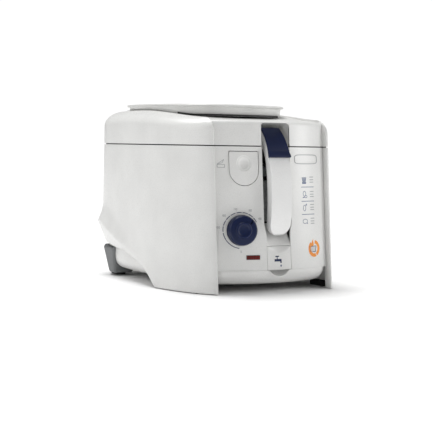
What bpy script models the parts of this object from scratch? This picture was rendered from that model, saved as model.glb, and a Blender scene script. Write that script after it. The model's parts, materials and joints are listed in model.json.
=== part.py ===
"""Deep fryer with a tilted, turning basket, as separate solids.

Metres, +Z up, the front faces -Y, the origin is at the centre of the floor footprint.
The body is a shell of side panels, fascia and rear panel on a rounded base. A folding
handle lifts the basket carriage through a toothed sector, a pinion and a rack.
"""
import functools
import math

import bmesh
import bpy
import numpy as np
from mathutils import Matrix, Vector

# ---------------------------------------------------------------- driving dimensions
GAP = 0.0003              # air between two fixed pieces that touch
RUNNING_GAP = 0.0004      # air round a piece that turns or slides
WALL = 0.0025             # moulded plastic shells
SHEET = 0.0012            # pressed metal

BODY_HALF_WIDTH = 0.1395  # at the lid line
BODY_REAR_Y = 0.200       # outside of the rear panel
LID_LINE_Z = 0.209        # top of the body, underside of the lid
LID_TOP_Z = 0.2625        # highest part of the lid shell
COVER_TOP_Z = 0.2705      # top of the filter cover
FLOOR_FLARE = 0.003       # how much wider the body is at the floor
FRONT_LEAN = 0.0913       # backward lean of the front, metres per metre
OUTLINE_POWER_FRONT = 2.6
OUTLINE_POWER_REAR = 3.6

CREASE_X = 0.098          # front edge of each side panel
CREASE_Y = -0.176         # the same edge at the floor
LIP_X = 0.0945            # inner face of that edge, which the fascia meets
FASCIA_Y = -0.188         # middle of the fascia, extended to the floor
FASCIA_BOW = 2.2          # bow of the fascia across its width, per metre
FASCIA_BOTTOM_Z = 0.033
REAR_SEAM_X = 0.060       # where side and rear panels meet

BASE_BOTTOM_Z = 0.010
BASE_INSET = 0.0105       # base wall behind the side panels

BOWL_Y = 0.012            # centre of the oil bowl
BOWL_RADIUS = 0.110       # inside
BOWL_FLANGE_RADIUS = 0.119
BOWL_FLANGE_Z = 0.195
BOWL_FLOOR_Z = 0.060
TILT = math.radians(12)   # drive and lift axis, leaning back
BASKET_SEAT_Z = 0.082     # middle of the basket's floor
BASKET_OFFSET_Y = -0.012  # from the bowl's centre
BASKET_DEPTH = 0.060
BASKET_FLOOR_RADIUS = 0.084
BASKET_RIM_RADIUS = 0.0905
BASKET_LIFT = 0.035

HANDLE_PIVOT_Y = -0.150
HANDLE_PIVOT_Z = 0.215
HANDLE_WIDTH = 0.034
HANDLE_TRAVEL = math.radians(90)
CHANNEL_HALF_WIDTH = 0.0235
CHANNEL_DEPTH = 0.028
NOTCH_TOP_Z = 0.2435

BUTTON_X = -0.0512
BUTTON_Z = 0.1772
BUTTON_WIDTH = 0.042
BUTTON_HEIGHT = 0.0476
KNOB_X = -0.058
KNOB_Z = 0.090
KNOB_RADIUS = 0.022
KNOB_HEIGHT = 0.015
LAMP_X = -0.0415
LAMP_Z = 0.0517
DOOR_HALF_WIDTH = 0.0205
DOOR_TOP_Z = 0.067

HINGE_Y = BODY_REAR_Y + 0.0045
HINGE_Z = LID_LINE_Z + 0.0008
HINGE_X = 0.045

CORD_X = 0.035
CORD_Z = 0.130

FRAME_SHIFT_Y = -0.0092   # puts the origin under the middle of the whole object's length

FRONT_COLUMNS = 8
SIDE_COLUMNS = 19


# ---------------------------------------------------------------- materials and objects
def plastic(name, colour, roughness=0.35, metallic=0.0):
    material = bpy.data.materials.new(name)
    material.use_nodes = True
    shader = material.node_tree.nodes["Principled BSDF"]
    shader.inputs["Base Color"].default_value = (*colour, 1.0)
    shader.inputs["Roughness"].default_value = roughness
    shader.inputs["Metallic"].default_value = metallic
    return material


def clear_scene():
    for item in list(bpy.data.objects):
        bpy.data.objects.remove(item, do_unlink=True)


def design_frame():
    """The empty that every piece hangs on, so that the design's own Y = 0 can differ from the origin."""
    frame = bpy.data.objects.get("design_frame")
    if frame is None:
        frame = bpy.data.objects.new("design_frame", None)
        bpy.context.collection.objects.link(frame)
        frame.location = (0, FRAME_SHIFT_Y, 0)
    return frame


def add_object(name, mesh_maker, material, parent=None, location=(0, 0, 0)):
    """Turns a bmesh into an object that is shaded smooth up to sharp edges."""
    bmesh.ops.recalc_face_normals(mesh_maker, faces=mesh_maker.faces)
    mesh = bpy.data.meshes.new(name)
    mesh_maker.to_mesh(mesh)
    mesh_maker.free()
    mesh.shade_smooth()
    mesh.set_sharp_from_angle(angle=math.radians(35))
    mesh.materials.append(material)
    item = bpy.data.objects.new(name, mesh)
    bpy.context.collection.objects.link(item)
    item.location = location
    item.parent = parent or design_frame()
    return item


def add_pivot(name, location, rotation_x=0.0):
    pivot = bpy.data.objects.new(name, None)
    bpy.context.collection.objects.link(pivot)
    pivot.location = location
    pivot.rotation_euler = (rotation_x, 0, 0)
    pivot.parent = design_frame()
    return pivot


def cut(item, cutter_maker, name, operation="DIFFERENCE"):
    """Adds a live Boolean whose cutter is a hidden wire object."""
    cutter = add_object(name, cutter_maker, item.data.materials[0], item.parent, item.location)
    cutter.hide_render = True
    cutter.display_type = "WIRE"
    modifier = item.modifiers.new(name, "BOOLEAN")
    modifier.operation = operation
    modifier.solver = "EXACT"
    modifier.object = cutter
    return cutter


# ---------------------------------------------------------------- small mesh builders
def moved(maker, matrix):
    bmesh.ops.transform(maker, matrix=matrix, verts=maker.verts)
    return maker


def block(low, high):
    maker = bmesh.new()
    size = [high[i] - low[i] for i in range(3)]
    centre = [(high[i] + low[i]) / 2 for i in range(3)]
    bmesh.ops.create_cube(maker, size=1.0)
    return moved(maker, Matrix.Translation(centre) @ Matrix.Diagonal((*size, 1.0)))


def joined(*makers):
    """Puts several separate shapes into one bmesh."""
    whole = bmesh.new()
    for maker in makers:
        mesh = bpy.data.meshes.new("joined")
        maker.to_mesh(mesh)
        maker.free()
        whole.from_mesh(mesh)
        bpy.data.meshes.remove(mesh)
    return whole


def turned(profile, steps=32, closed=False):
    """Spins a profile of (radius, height) points about Z into a closed solid."""
    maker = bmesh.new()
    verts = [maker.verts.new((radius, 0, height)) for radius, height in profile]
    edges = [maker.edges.new(pair) for pair in zip(verts, verts[1:])]
    if closed:
        edges.append(maker.edges.new((verts[-1], verts[0])))
    bmesh.ops.spin(maker, geom=verts + edges, cent=(0, 0, 0), axis=(0, 0, 1),
                   angle=2 * math.pi, steps=steps, use_merge=True)
    bmesh.ops.remove_doubles(maker, verts=maker.verts, dist=1e-6)
    bmesh.ops.recalc_face_normals(maker, faces=maker.faces)
    return maker


def disc(radius, low, high, steps=24, bore=0.0):
    if bore:
        return turned([(bore, low), (radius, low), (radius, high), (bore, high)], steps, True)
    return turned([(0, low), (radius, low), (radius, high), (0, high)], steps)


def along(maker, axis, point):
    """Turns a shape built about Z so that it lies along an axis, then moves it."""
    turn = Vector((0, 0, 1)).rotation_difference(Vector(axis)).to_matrix().to_4x4()
    return moved(maker, Matrix.Translation(point) @ turn)


def prism(outline, low, high, axis="X"):
    """Extrudes a closed outline of two coordinates along the third axis."""
    maker = bmesh.new()
    place = {"X": lambda a, b: (low, a, b), "Y": lambda a, b: (a, low, b), "Z": lambda a, b: (a, b, low)}[axis]
    step = {"X": (high - low, 0, 0), "Y": (0, high - low, 0), "Z": (0, 0, high - low)}[axis]
    face = maker.faces.new([maker.verts.new(place(a, b)) for a, b in outline])
    raised = bmesh.ops.extrude_face_region(maker, geom=[face], use_keep_orig=True)
    verts = [piece for piece in raised["geom"] if isinstance(piece, bmesh.types.BMVert)]
    bmesh.ops.translate(maker, verts=verts, vec=step)
    bmesh.ops.recalc_face_normals(maker, faces=maker.faces)
    return maker


def bevelled(maker, width, angle=30, segments=2):
    edges = [e for e in maker.edges if e.is_manifold and e.calc_face_angle() > math.radians(angle)]
    bmesh.ops.bevel(maker, geom=edges, offset=width, segments=segments, profile=0.5,
                    affect="EDGES", clamp_overlap=True, material=-1)
    return maker


def grid_shell(columns, rows, outer, inner):
    """A thick open sheet: a grid whose front and back are placed by two functions."""
    maker = bmesh.new()
    bmesh.ops.create_grid(maker, x_segments=columns, y_segments=rows, size=0.5)
    back = bmesh.ops.extrude_face_region(maker, geom=maker.faces[:], use_keep_orig=True)
    back_verts = {piece for piece in back["geom"] if isinstance(piece, bmesh.types.BMVert)}
    for vert in maker.verts:
        column = round((vert.co.x + 0.5) * columns)
        row = round((vert.co.y + 0.5) * rows)
        vert.co = inner(column, row) if vert in back_verts else outer(column, row)
    bmesh.ops.recalc_face_normals(maker, faces=maker.faces)
    return maker


def ring_shell(columns, rows, outer, inner, capped=False):
    """A thick closed band, or a cup when it is capped at row 0."""
    maker = bmesh.new()
    bmesh.ops.create_circle(maker, cap_ends=capped, segments=columns, radius=1.0)
    edges = [edge for edge in maker.edges]
    for row in range(1, rows + 1):
        grown = bmesh.ops.extrude_edge_only(maker, edges=edges)
        edges = [piece for piece in grown["geom"] if isinstance(piece, bmesh.types.BMEdge)]
        edges = [edge for edge in edges if len(edge.link_faces) == 1]
        fresh = {vert for edge in edges for vert in edge.verts}
        for vert in fresh:
            vert.co.z = row
    back = bmesh.ops.extrude_face_region(maker, geom=maker.faces[:], use_keep_orig=True)
    back_verts = {piece for piece in back["geom"] if isinstance(piece, bmesh.types.BMVert)}
    for vert in maker.verts:
        angle = math.atan2(vert.co.y, vert.co.x)
        column = round(angle / (2 * math.pi) * columns) % columns
        row = round(vert.co.z)
        vert.co = inner(column, row) if vert in back_verts else outer(column, row)
    bmesh.ops.recalc_face_normals(maker, faces=maker.faces)
    return maker


# ---------------------------------------------------------------- body surfaces
def smooth_step(value):
    value = min(1.0, max(0.0, value))
    return value * value * (3 - 2 * value)


def crease_y(z):
    return CREASE_Y + FRONT_LEAN * z


def fascia_y(x, z):
    return FASCIA_Y + FRONT_LEAN * z + FASCIA_BOW * x * x


def body_half_width(z):
    return BODY_HALF_WIDTH + FLOOR_FLARE * (LID_LINE_Z - z) / LID_LINE_Z


@functools.lru_cache(maxsize=None)
def outline_table(z):
    """Half of the body's plan outline, evenly spaced from the front crease to the rear centre."""
    half = body_half_width(z)
    share = 1 - (CREASE_X / half) ** OUTLINE_POWER_FRONT
    front = -crease_y(z) / share ** (1 / OUTLINE_POWER_FRONT)
    start = -math.acos((CREASE_X / half) ** (OUTLINE_POWER_FRONT / 2))
    angles = np.linspace(start, math.pi / 2, 600)
    power = np.where(angles < 0, OUTLINE_POWER_FRONT, OUTLINE_POWER_REAR)
    depth = np.where(angles < 0, front, BODY_REAR_Y)
    xs = half * np.abs(np.cos(angles)) ** (2 / power)
    ys = depth * np.sign(angles) * np.abs(np.sin(angles)) ** (2 / power)
    run = np.concatenate([[0], np.cumsum(np.hypot(np.diff(xs), np.diff(ys)))])
    return run / run[-1], xs, ys


def outline(z, t, inset=0.0):
    """A point of the side outline moved inwards, t = 0 at the crease and 1 at the rear centre."""
    run, xs, ys = outline_table(round(z, 6))
    x, y = np.interp(t, run, xs), np.interp(t, run, ys)
    low, high = max(0.0, t - 0.01), min(1.0, t + 0.01)
    tangent = Vector((np.interp(high, run, xs) - np.interp(low, run, xs),
                      np.interp(high, run, ys) - np.interp(low, run, ys))).normalized()
    normal = Vector((tangent.y, -tangent.x))
    return Vector((float(x), float(y))) - normal * inset


def seam_t():
    """Where the rear seam lies along the outline."""
    run, xs, ys = outline_table(LID_LINE_Z)
    rear = ys > 0
    return float(np.interp(-REAR_SEAM_X, -xs[rear], run[rear]))


FOOT_REAR_Y = -0.063
FOOT_Z = 0.0015
LOWER_EDGE = [(FOOT_REAR_Y, FOOT_Z), (-0.054, 0.011), (-0.043, 0.020), (-0.032, 0.028), (-0.017, 0.0325),
              (0.050, 0.044), (0.140, 0.056), (0.205, 0.060)]
HIP_SWELL = 0.008
HIP_TUCK = 0.012
HIP_FADE = 0.032


def lower_edge_z(y):
    """The side panel's lower edge: foot, arch, then rising to the rear."""
    return float(np.interp(y, [p[0] for p in LOWER_EDGE], [p[1] for p in LOWER_EDGE]))


def hip_crease_z(y):
    return min(0.040 + 0.41 * max(y, -0.02), 0.086)


def hip(y, z):
    """Outward swell of the side panel above its lower edge, strongest at the rear."""
    crease = hip_crease_z(y)
    swell = HIP_SWELL * smooth_step((y + 0.01) / 0.13)
    if z >= crease:
        return swell * max(0.0, 1 - (z - crease) / HIP_FADE) ** 2
    tuck = HIP_TUCK * smooth_step((y + 0.03) / 0.10)
    depth = (crease - z) / max(crease - lower_edge_z(y), 1e-4)
    return swell - tuck * depth


# ---------------------------------------------------------------- casing
LIP_COLUMNS = 3
PANEL_ROWS = 11


def panel_point(sign, column, row, inside):
    """Side panel surface: three columns of front lip, then the side outline."""
    side = max(0, column - LIP_COLUMNS)
    t = seam_t() * side / (SIDE_COLUMNS + 5) - (0.0 if side < SIDE_COLUMNS + 5 else 0.0006)
    column_y = outline(0.030, t).y
    low = lower_edge_z(column_y)
    z = low + (LID_LINE_Z - low) * (row / PANEL_ROWS) ** 1.15
    if column >= LIP_COLUMNS:
        swell = hip(column_y, z)
        inset = (WALL if inside else 0.0) - swell
        point = outline(z, t, inset)
        if inside and side == 0:
            point = Vector((CREASE_X - 0.0004, crease_y(z) + 0.0058))
        return Vector((sign * point.x, point.y, z))
    lip = [(LIP_X, fascia_y(LIP_X, z) + 0.004), (LIP_X, crease_y(z) + 0.0012),
           ((LIP_X + CREASE_X) / 2, crease_y(z) - 0.0004)]
    back = [(LIP_X + WALL, fascia_y(LIP_X, z) + 0.004), (LIP_X + 0.0017, crease_y(z) + 0.0052),
            (LIP_X + 0.0022, crease_y(z) + 0.0056)]
    x, y = (back if inside else lip)[column]
    return Vector((sign * x, y, z))


def side_panel(name, sign, material):
    columns = LIP_COLUMNS + SIDE_COLUMNS + 5
    maker = grid_shell(columns, PANEL_ROWS, lambda c, r: panel_point(sign, c, r, False),
                       lambda c, r: panel_point(sign, c, r, True))
    return add_object(name, maker, material)


def fascia_shell(half_width, low_z, high_z, forward=0.0, thickness=WALL, columns=16, rows=6):
    """A piece of the bowed, leaning fascia surface, flat enough for a few rows."""
    def place(column, row, depth):
        x = half_width * (2 * column / columns - 1)
        z = low_z + (high_z - low_z) * row / rows
        return Vector((x, fascia_y(x, z) - forward + depth, z))
    return grid_shell(columns, rows, lambda c, r: place(c, r, 0.0), lambda c, r: place(c, r, thickness))


def button_outline(grow=0.0):
    """D shape with a flat top and a round bottom, about its own centre."""
    half = BUTTON_WIDTH / 2 + grow
    top = BUTTON_HEIGHT / 2 + grow
    centre = -BUTTON_HEIGHT / 2 + BUTTON_WIDTH / 2
    arc = [(half * math.cos(a), centre + half * math.sin(a)) for a in np.linspace(-math.pi, 0, 15)]
    return [(-half, top)] + arc + [(half, top)]


def button_prism(low_y, high_y, grow=0.0):
    shape = [(BUTTON_X + x, BUTTON_Z + z) for x, z in button_outline(grow)]
    return prism(shape, low_y, high_y, "Y")


def front_fascia(material):
    """Two half panels either side of the handle channel, with their openings."""
    for side, sign in (("left", -1), ("right", 1)):
        maker = fascia_shell(LIP_X - GAP, FASCIA_BOTTOM_Z + GAP, LID_LINE_Z, columns=18)
        item = add_object(f"front_fascia_{side}", maker, material)
        half, door = CHANNEL_HALF_WIDTH, DOOR_HALF_WIDTH
        mouth = [(-sign * 0.12, 0.0), (sign * door, 0.0), (sign * door, 0.085), (sign * half, 0.100),
                 (sign * half, 0.23), (-sign * 0.12, 0.23)]
        cut(item, prism(mouth, -0.21, -0.13, "Y"), f"channel_cutter_{side}")
        if side == "right":
            continue
        cut(item, button_prism(-0.21, -0.13, RUNNING_GAP), "button_cutter")
        shaft = along(disc(0.0042, -0.03, 0.03, 20), (0, 1, 0), (KNOB_X, fascia_y(KNOB_X, KNOB_Z), KNOB_Z))
        cut(item, shaft, "knob_cutter")
        lamp = block((LAMP_X - 0.0103, -0.21, LAMP_Z - 0.0033), (LAMP_X + 0.0103, -0.14, LAMP_Z + 0.0033))
        cut(item, lamp, "lamp_cutter")


def rear_panel(material):
    """Rear wall between the side panels, bowed with the outline."""
    columns, rows = 12, 5
    start = seam_t() + 0.0006
    low = lower_edge_z(BODY_REAR_Y) + 0.0005

    def place(column, row, inset):
        share = 2 * column / columns - 1
        t = 1 - (1 - start) * abs(share)
        z = low + (LID_LINE_Z - low) * row / rows
        point = outline(z, t, inset - hip(BODY_REAR_Y, z))
        return Vector((math.copysign(point.x, share) if abs(share) > 1e-6 else 0.0, point.y, z))
    maker = grid_shell(columns, rows, lambda c, r: place(c, r, 0.0), lambda c, r: place(c, r, WALL))
    item = add_object("rear_panel", maker, material)
    bore = along(disc(0.0062, -0.03, 0.03, 20), (0, 1, 0), (CORD_X, BODY_REAR_Y, CORD_Z))
    cut(item, bore, "gland_cutter")
    slots = [block((-0.030, 0.18, z), (0.010, 0.22, z + 0.003)) for z in (0.160, 0.168, 0.176, 0.184)]
    cut(item, joined(*slots), "vent_cutter")
    return item


HALF_COLUMNS = FRONT_COLUMNS + SIDE_COLUMNS


def mirrored(column, half_columns):
    """Splits a full ring's column into its side and its column from the front centre."""
    if column <= half_columns:
        return 1.0, column
    return -1.0, 2 * half_columns - column


BASE_FRONT_X = 0.090
BASE_RINGS = [(0.060, 0.0), (0.026, 0.0004), (0.013, 0.0035), (0.005, 0.010), (0.001, 0.018)]


def base_point(column, row, inside):
    """Rounded belly: rings of growing height and shrinking inset, then the hidden upper wall."""
    sign, index = mirrored(column, HALF_COLUMNS)
    top_rows = 2
    extra, rise = BASE_RINGS[min(row, len(BASE_RINGS) - 1)]
    z = BASE_BOTTOM_Z + rise
    t = 0.06 + 0.94 * (index - FRONT_COLUMNS) / SIDE_COLUMNS
    upright = row / (len(BASE_RINGS) + 1)
    top = FASCIA_BOTTOM_Z
    if index > FRONT_COLUMNS:
        top = max(top, lower_edge_z(outline(0.030, t).y) + 0.012)
    if row >= len(BASE_RINGS):
        z += (top - z) * (row - len(BASE_RINGS) + 1) / top_rows
    inset = extra + (WALL * min(1.0, upright * 1.4) if inside else 0.0)
    z_used = z + (WALL * max(0.0, 1 - upright * 1.25) if inside else 0.0)
    if row == len(BASE_RINGS) + 1:
        z_used = z
    if index <= FRONT_COLUMNS:
        share = index / FRONT_COLUMNS
        x = BASE_FRONT_X * share * (1 - extra * 3.0)
        y = fascia_y(BASE_FRONT_X * share, FASCIA_BOTTOM_Z) + inset
        return Vector((sign * x, y, z_used))
    point = outline(0.030, t, BASE_INSET + inset)
    return Vector((sign * point.x, point.y, z_used))


def base_shell(material):
    maker = ring_shell(2 * HALF_COLUMNS, len(BASE_RINGS) + 1, lambda c, r: base_point(c, r, False),
                       lambda c, r: base_point(c, r, True), capped=True)
    item = add_object("base_shell", maker, material)
    notch = along(disc(0.0205, -0.03, 0.008, 28), (0, 1, 0),
                  (0, fascia_y(0, FASCIA_BOTTOM_Z), FASCIA_BOTTOM_Z + 0.0115))
    cut(item, notch, "finger_notch_cutter")
    slots = [block((-0.030, y, 0.0), (0.030, y + 0.004, 0.03)) for y in (0.090, 0.100, 0.110, 0.120)]
    cut(item, joined(*slots), "floor_vent_cutter")
    return item


# ---------------------------------------------------------------- lid
LID_HALF = FRONT_COLUMNS + LIP_COLUMNS + SIDE_COLUMNS
LID_ROWS = 8
LID_BOTTOM_Z = LID_LINE_Z + 0.0008
COVER_Y = 0.045
COVER_HALF_X = 0.105
COVER_HALF_Y = 0.130
COVER_POWER = 3.0
LEDGE_RADIUS = 0.007
LEDGE_TOP_Z = 0.2455


def trough_z(y):
    """Height of the lid's top between its shoulders, rising from the front ledge."""
    return LEDGE_TOP_Z + (LID_TOP_Z - LEDGE_TOP_Z) * smooth_step((y + 0.150) / 0.21)


def cover_edge(angle, inset=0.0):
    """Plan outline of the filter cover, angle 0 at the front centre, growing to +X and the rear."""
    power = 2 / COVER_POWER
    s, c = math.sin(angle), -math.cos(angle)
    x = (COVER_HALF_X - inset) * math.copysign(abs(s) ** power, s)
    y = (COVER_HALF_Y - inset) * math.copysign(abs(c) ** power, c)
    return Vector((x, COVER_Y + y))


def lid_shoulder(t):
    """Inner end of the shoulder's rounding: crease point and the wall height where it starts."""
    edge = outline(LID_LINE_Z, t)
    front = smooth_step(t / 0.35)
    crease_x = LIP_X + 0.0015 + 0.0065 * front
    rear = smooth_step((t - 0.55) / 0.30)
    along_y = -0.130 + 0.215 * min(1.0, t / 0.55)
    x = crease_x + (min(crease_x, edge.x * 0.86) - crease_x) * rear
    y = along_y + (min(0.176, edge.y * 0.88) - along_y) * rear
    x = min(x, edge.x * 0.97)
    z = 0.249 + (LID_TOP_Z - 0.0015 - 0.249) * smooth_step((t + 0.05) / 0.5)
    return Vector((x, y, z)), 0.228 + 0.010 * front


def lid_point(column, row, inside):
    sign, index = mirrored(column, LID_HALF)
    side = index - FRONT_COLUMNS - LIP_COLUMNS
    t = max(0, side) / SIDE_COLUMNS
    angle = lid_angle(index)
    hole = cover_edge(angle, 0.010)
    if inside:
        return lid_inner_point(sign, index, t, hole, row)
    if row == LID_ROWS:
        return Vector((sign * hole.x, hole.y, trough_z(hole.y)))
    if index <= FRONT_COLUMNS:
        x = LIP_X * index / FRONT_COLUMNS
        point = lid_front_point(x, row)
    else:
        crease, wall_z = lid_shoulder(t)
        x_front = {1: LIP_X, 2: (LIP_X + CREASE_X) / 2}.get(index - FRONT_COLUMNS)
        nudge = {1: 0.0012, 2: -0.0004}.get(index - FRONT_COLUMNS, 0.0)
        z = LID_BOTTOM_Z + (wall_z - LID_BOTTOM_Z) * min(row, 1)
        edge = outline(min(z, LID_LINE_Z), t)
        if z > LID_LINE_Z:
            edge.y += FRONT_LEAN * (z - LID_LINE_Z) * (1 - smooth_step(t / 0.4))
        if x_front:
            edge = Vector((x_front, edge.y + nudge))
            crease = Vector((LIP_X + 0.0002 * (index - FRONT_COLUMNS), crease.y, crease.z))
        if row <= 1:
            point = Vector((edge.x, edge.y, z))
        elif row <= 5:
            turn = (row - 1) / 4 * math.pi / 2
            share, lift = 1 - math.cos(turn), math.sin(turn)
            point = Vector((edge.x + (crease.x - edge.x) * share, edge.y + (crease.y - edge.y) * share,
                            wall_z + (crease.z - wall_z) * lift))
        else:
            low = Vector((crease.x - 0.0004, crease.y, min(crease.z - 0.0004, trough_z(crease.y))))
            inner = Vector((hole.x, hole.y, trough_z(hole.y)))
            point = low if row == 6 else (low + inner) / 2
    return Vector((sign * point.x, point.y, point.z))


def lid_front_point(x, row):
    wall_top = LEDGE_TOP_Z - LEDGE_RADIUS
    if row <= 1:
        z = LID_BOTTOM_Z + (wall_top - LID_BOTTOM_Z) * row
        return Vector((x, fascia_y(x, z), z))
    face = fascia_y(x, wall_top)
    if row <= 5:
        turn = (row - 1) / 4 * math.pi / 2
        return Vector((x, face + LEDGE_RADIUS * (1 - math.cos(turn)),
                       wall_top + LEDGE_RADIUS * math.sin(turn)))
    crease, _ = lid_shoulder(0.0)
    blend = (x / LIP_X) ** 4
    y = (face + 0.014) * (1 - blend) + crease.y * blend
    if row == 6:
        return Vector((min(x, LIP_X - 0.0012), y, trough_z(y)))
    hole = cover_edge(lid_angle(round(x / LIP_X * FRONT_COLUMNS)), 0.010)
    y = (y + hole.y) / 2
    return Vector(((x + hole.x) / 2, y, trough_z(y)))


def lid_angle(index):
    """Direction of a lid column as seen from the cover's centre, 0 at the front."""
    if index <= FRONT_COLUMNS:
        return 0.62 * index / FRONT_COLUMNS
    start = 0.62 + 0.03 * min(index - FRONT_COLUMNS, LIP_COLUMNS)
    side = max(0, index - FRONT_COLUMNS - LIP_COLUMNS) / SIDE_COLUMNS
    return start + (math.pi - start) * side


def lid_inner_point(sign, index, t, hole, row):
    """Inside of the lid: a plain wall and a ceiling under the trough."""
    if index <= FRONT_COLUMNS:
        x = (LIP_X - 0.006) * index / FRONT_COLUMNS
        edge = Vector((x, fascia_y(x, LEDGE_TOP_Z) + WALL + 0.0005))
    else:
        edge = outline(LID_LINE_Z, max(t, 0.045 * min(3, index - FRONT_COLUMNS) / 3), WALL + 0.0005)
        start = Vector((LIP_X - 0.0035, fascia_y(LIP_X, LEDGE_TOP_Z) - 0.0012))
        share = min(1.0, (index - FRONT_COLUMNS) / 5)
        edge = start + (edge - start) * share
    share = {0: 0.0, 1: 0.0, 2: 0.0, 3: 0.06, 4: 0.16, 5: 0.35, 6: 0.60, 7: 0.85, 8: 1.0}[row]
    flat = edge + (hole - edge) * share
    z = {0: LID_BOTTOM_Z, 1: 0.218}.get(row) or lid_ceiling(index, t, flat)
    return Vector((sign * flat.x, flat.y, z))


def lid_ceiling(index, t, flat):
    """Height of the lid's inside at a plan point, one wall below the outside."""
    if index <= FRONT_COLUMNS:
        wall_z, top, reach = LEDGE_TOP_Z - LEDGE_RADIUS, LEDGE_TOP_Z, LEDGE_RADIUS
        run = flat.y - fascia_y(flat.x, LEDGE_TOP_Z)
    else:
        crease, wall_z = lid_shoulder(t)
        edge, top = outline(LID_LINE_Z, t), crease.z
        across = Vector((edge.x - crease.x, edge.y - crease.y))
        reach = across.length
        run = (edge - flat).dot(across) / reach
    near = min(1.0, max(0.0, run / reach))
    outside = wall_z + (top - wall_z) * math.sqrt(1 - (1 - near) ** 2)
    trough = trough_z(flat.y) - WALL - 0.0005
    return min(outside - 1.3 * WALL, trough + 0.8 * max(0.0, reach - run - 0.010))


def lid_shell(material):
    maker = ring_shell(2 * LID_HALF, LID_ROWS, lambda c, r: lid_point(c, r, False),
                       lambda c, r: lid_point(c, r, True))
    item = add_object("lid_shell", maker, material)
    corner = 0.006
    top = NOTCH_TOP_Z - 0.0008
    half = CHANNEL_HALF_WIDTH + 0.0005
    arc = [(half - corner + corner * math.sin(a), top - corner + corner * math.cos(a))
           for a in np.linspace(0, math.pi / 2, 4)]
    shape = [(-x, z) for x, z in reversed(arc)] + arc + [(half, 0.19), (-half, 0.19)]
    cut(item, prism(shape, -0.21, -0.115, "Y"), "handle_notch_cutter")
    return item


def filter_cover(material):
    """Oval cap with a rounded top edge that stands on the lid, open underneath."""
    rings = [(0.0004, 0.0), (0.0, 0.45), (0.0012, 0.72), (0.0045, 0.90), (0.012, 0.99), (0.045, 1.0)]
    columns = 48

    def place(column, row, inside):
        angle = 2 * math.pi * column / columns
        inset, rise = rings[len(rings) - 1 - row]
        point = cover_edge(angle, inset + (0.002 if inside else 0.0))
        foot = max(trough_z(cover_edge(angle).y) + 0.0006, 0.2525)
        top = COVER_TOP_Z - (0.002 if inside else 0.0)
        return Vector((point.x, point.y, foot + (top - foot) * rise))
    maker = ring_shell(columns, len(rings) - 1, lambda c, r: place(c, r, False),
                       lambda c, r: place(c, r, True), capped=True)
    return add_object("filter_cover", maker, material)


def odour_filter(material):
    outline_points = [tuple(cover_edge(2 * math.pi * i / 32, 0.0135)) for i in range(32)]
    return add_object("odour_filter", prism(outline_points, 0.2515, 0.2615, "Z"), material)


LINER_RADIUS = 0.109
LINER_TOP_Z = 0.2372
ARM_HALF_WIDTH = 0.008
ARM_SLOT = 0.012


def lid_liner(material):
    """Upside-down metal dish under the lid, slotted at the front for the lift arm."""
    low = BOWL_FLANGE_Z + SHEET + 0.0033
    profile = [(0, LINER_TOP_Z), (LINER_RADIUS - 0.004, LINER_TOP_Z), (LINER_RADIUS, LINER_TOP_Z - 0.004),
               (LINER_RADIUS, low), (LINER_RADIUS - SHEET, low),
               (LINER_RADIUS - SHEET, LINER_TOP_Z - 0.0045), (LINER_RADIUS - 0.0045, LINER_TOP_Z - SHEET),
               (0, LINER_TOP_Z - SHEET)]
    item = add_object("lid_liner", turned(profile, 40), material, location=(0, BOWL_Y, 0))
    slot = block((-ARM_SLOT, -0.16, 0.19), (ARM_SLOT, -0.09, LINER_TOP_Z - 0.0016))
    cut(item, slot, "arm_slot_cutter")
    holes = [along(disc(0.004, -0.01, 0.01, 10), (0, 0, 1), (0.055 * math.cos(a), 0.055 * math.sin(a), LINER_TOP_Z))
             for a in np.linspace(0, 2 * math.pi, 8, endpoint=False)]
    cut(item, joined(*holes), "steam_hole_cutter")
    return item


def lid_seal(material):
    low = BOWL_FLANGE_Z + SHEET + GAP
    item = add_object("lid_seal", disc(LINER_RADIUS + 0.0025, low, low + 0.0027, 40, LINER_RADIUS - 0.004),
                      material, location=(0, BOWL_Y, 0))
    cut(item, block((-ARM_SLOT, -0.16, 0.19), (ARM_SLOT, -0.09, 0.21)), "seal_slot_cutter")
    return item


def along_surface(maker):
    """Moves a flat piece, drawn with Y as depth, onto the bowed and leaning fascia."""
    for vert in maker.verts:
        vert.co.y += fascia_y(vert.co.x, vert.co.z)
    return maker


BUTTON_BACK = 0.0056


def lid_release_button(material):
    shape = [(BUTTON_X + x, BUTTON_Z + z) for x, z in button_outline()]
    maker = along_surface(prism(shape, -0.0008, BUTTON_BACK, "Y"))
    item = add_object("lid_release_button", maker, material)
    thumb = bmesh.new()
    bmesh.ops.create_uvsphere(thumb, u_segments=24, v_segments=14, radius=0.034)
    centre_z = BUTTON_Z + 0.0074
    moved(thumb, Matrix.Translation((BUTTON_X, fascia_y(BUTTON_X, centre_z) - 0.0328, centre_z)))
    cut(item, thumb, "thumb_cutter")
    return item


LATCH_HALF = 0.003
LATCH_PIVOT_Z = 0.160
LATCH_PIVOT_DEPTH = 0.0135


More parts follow.
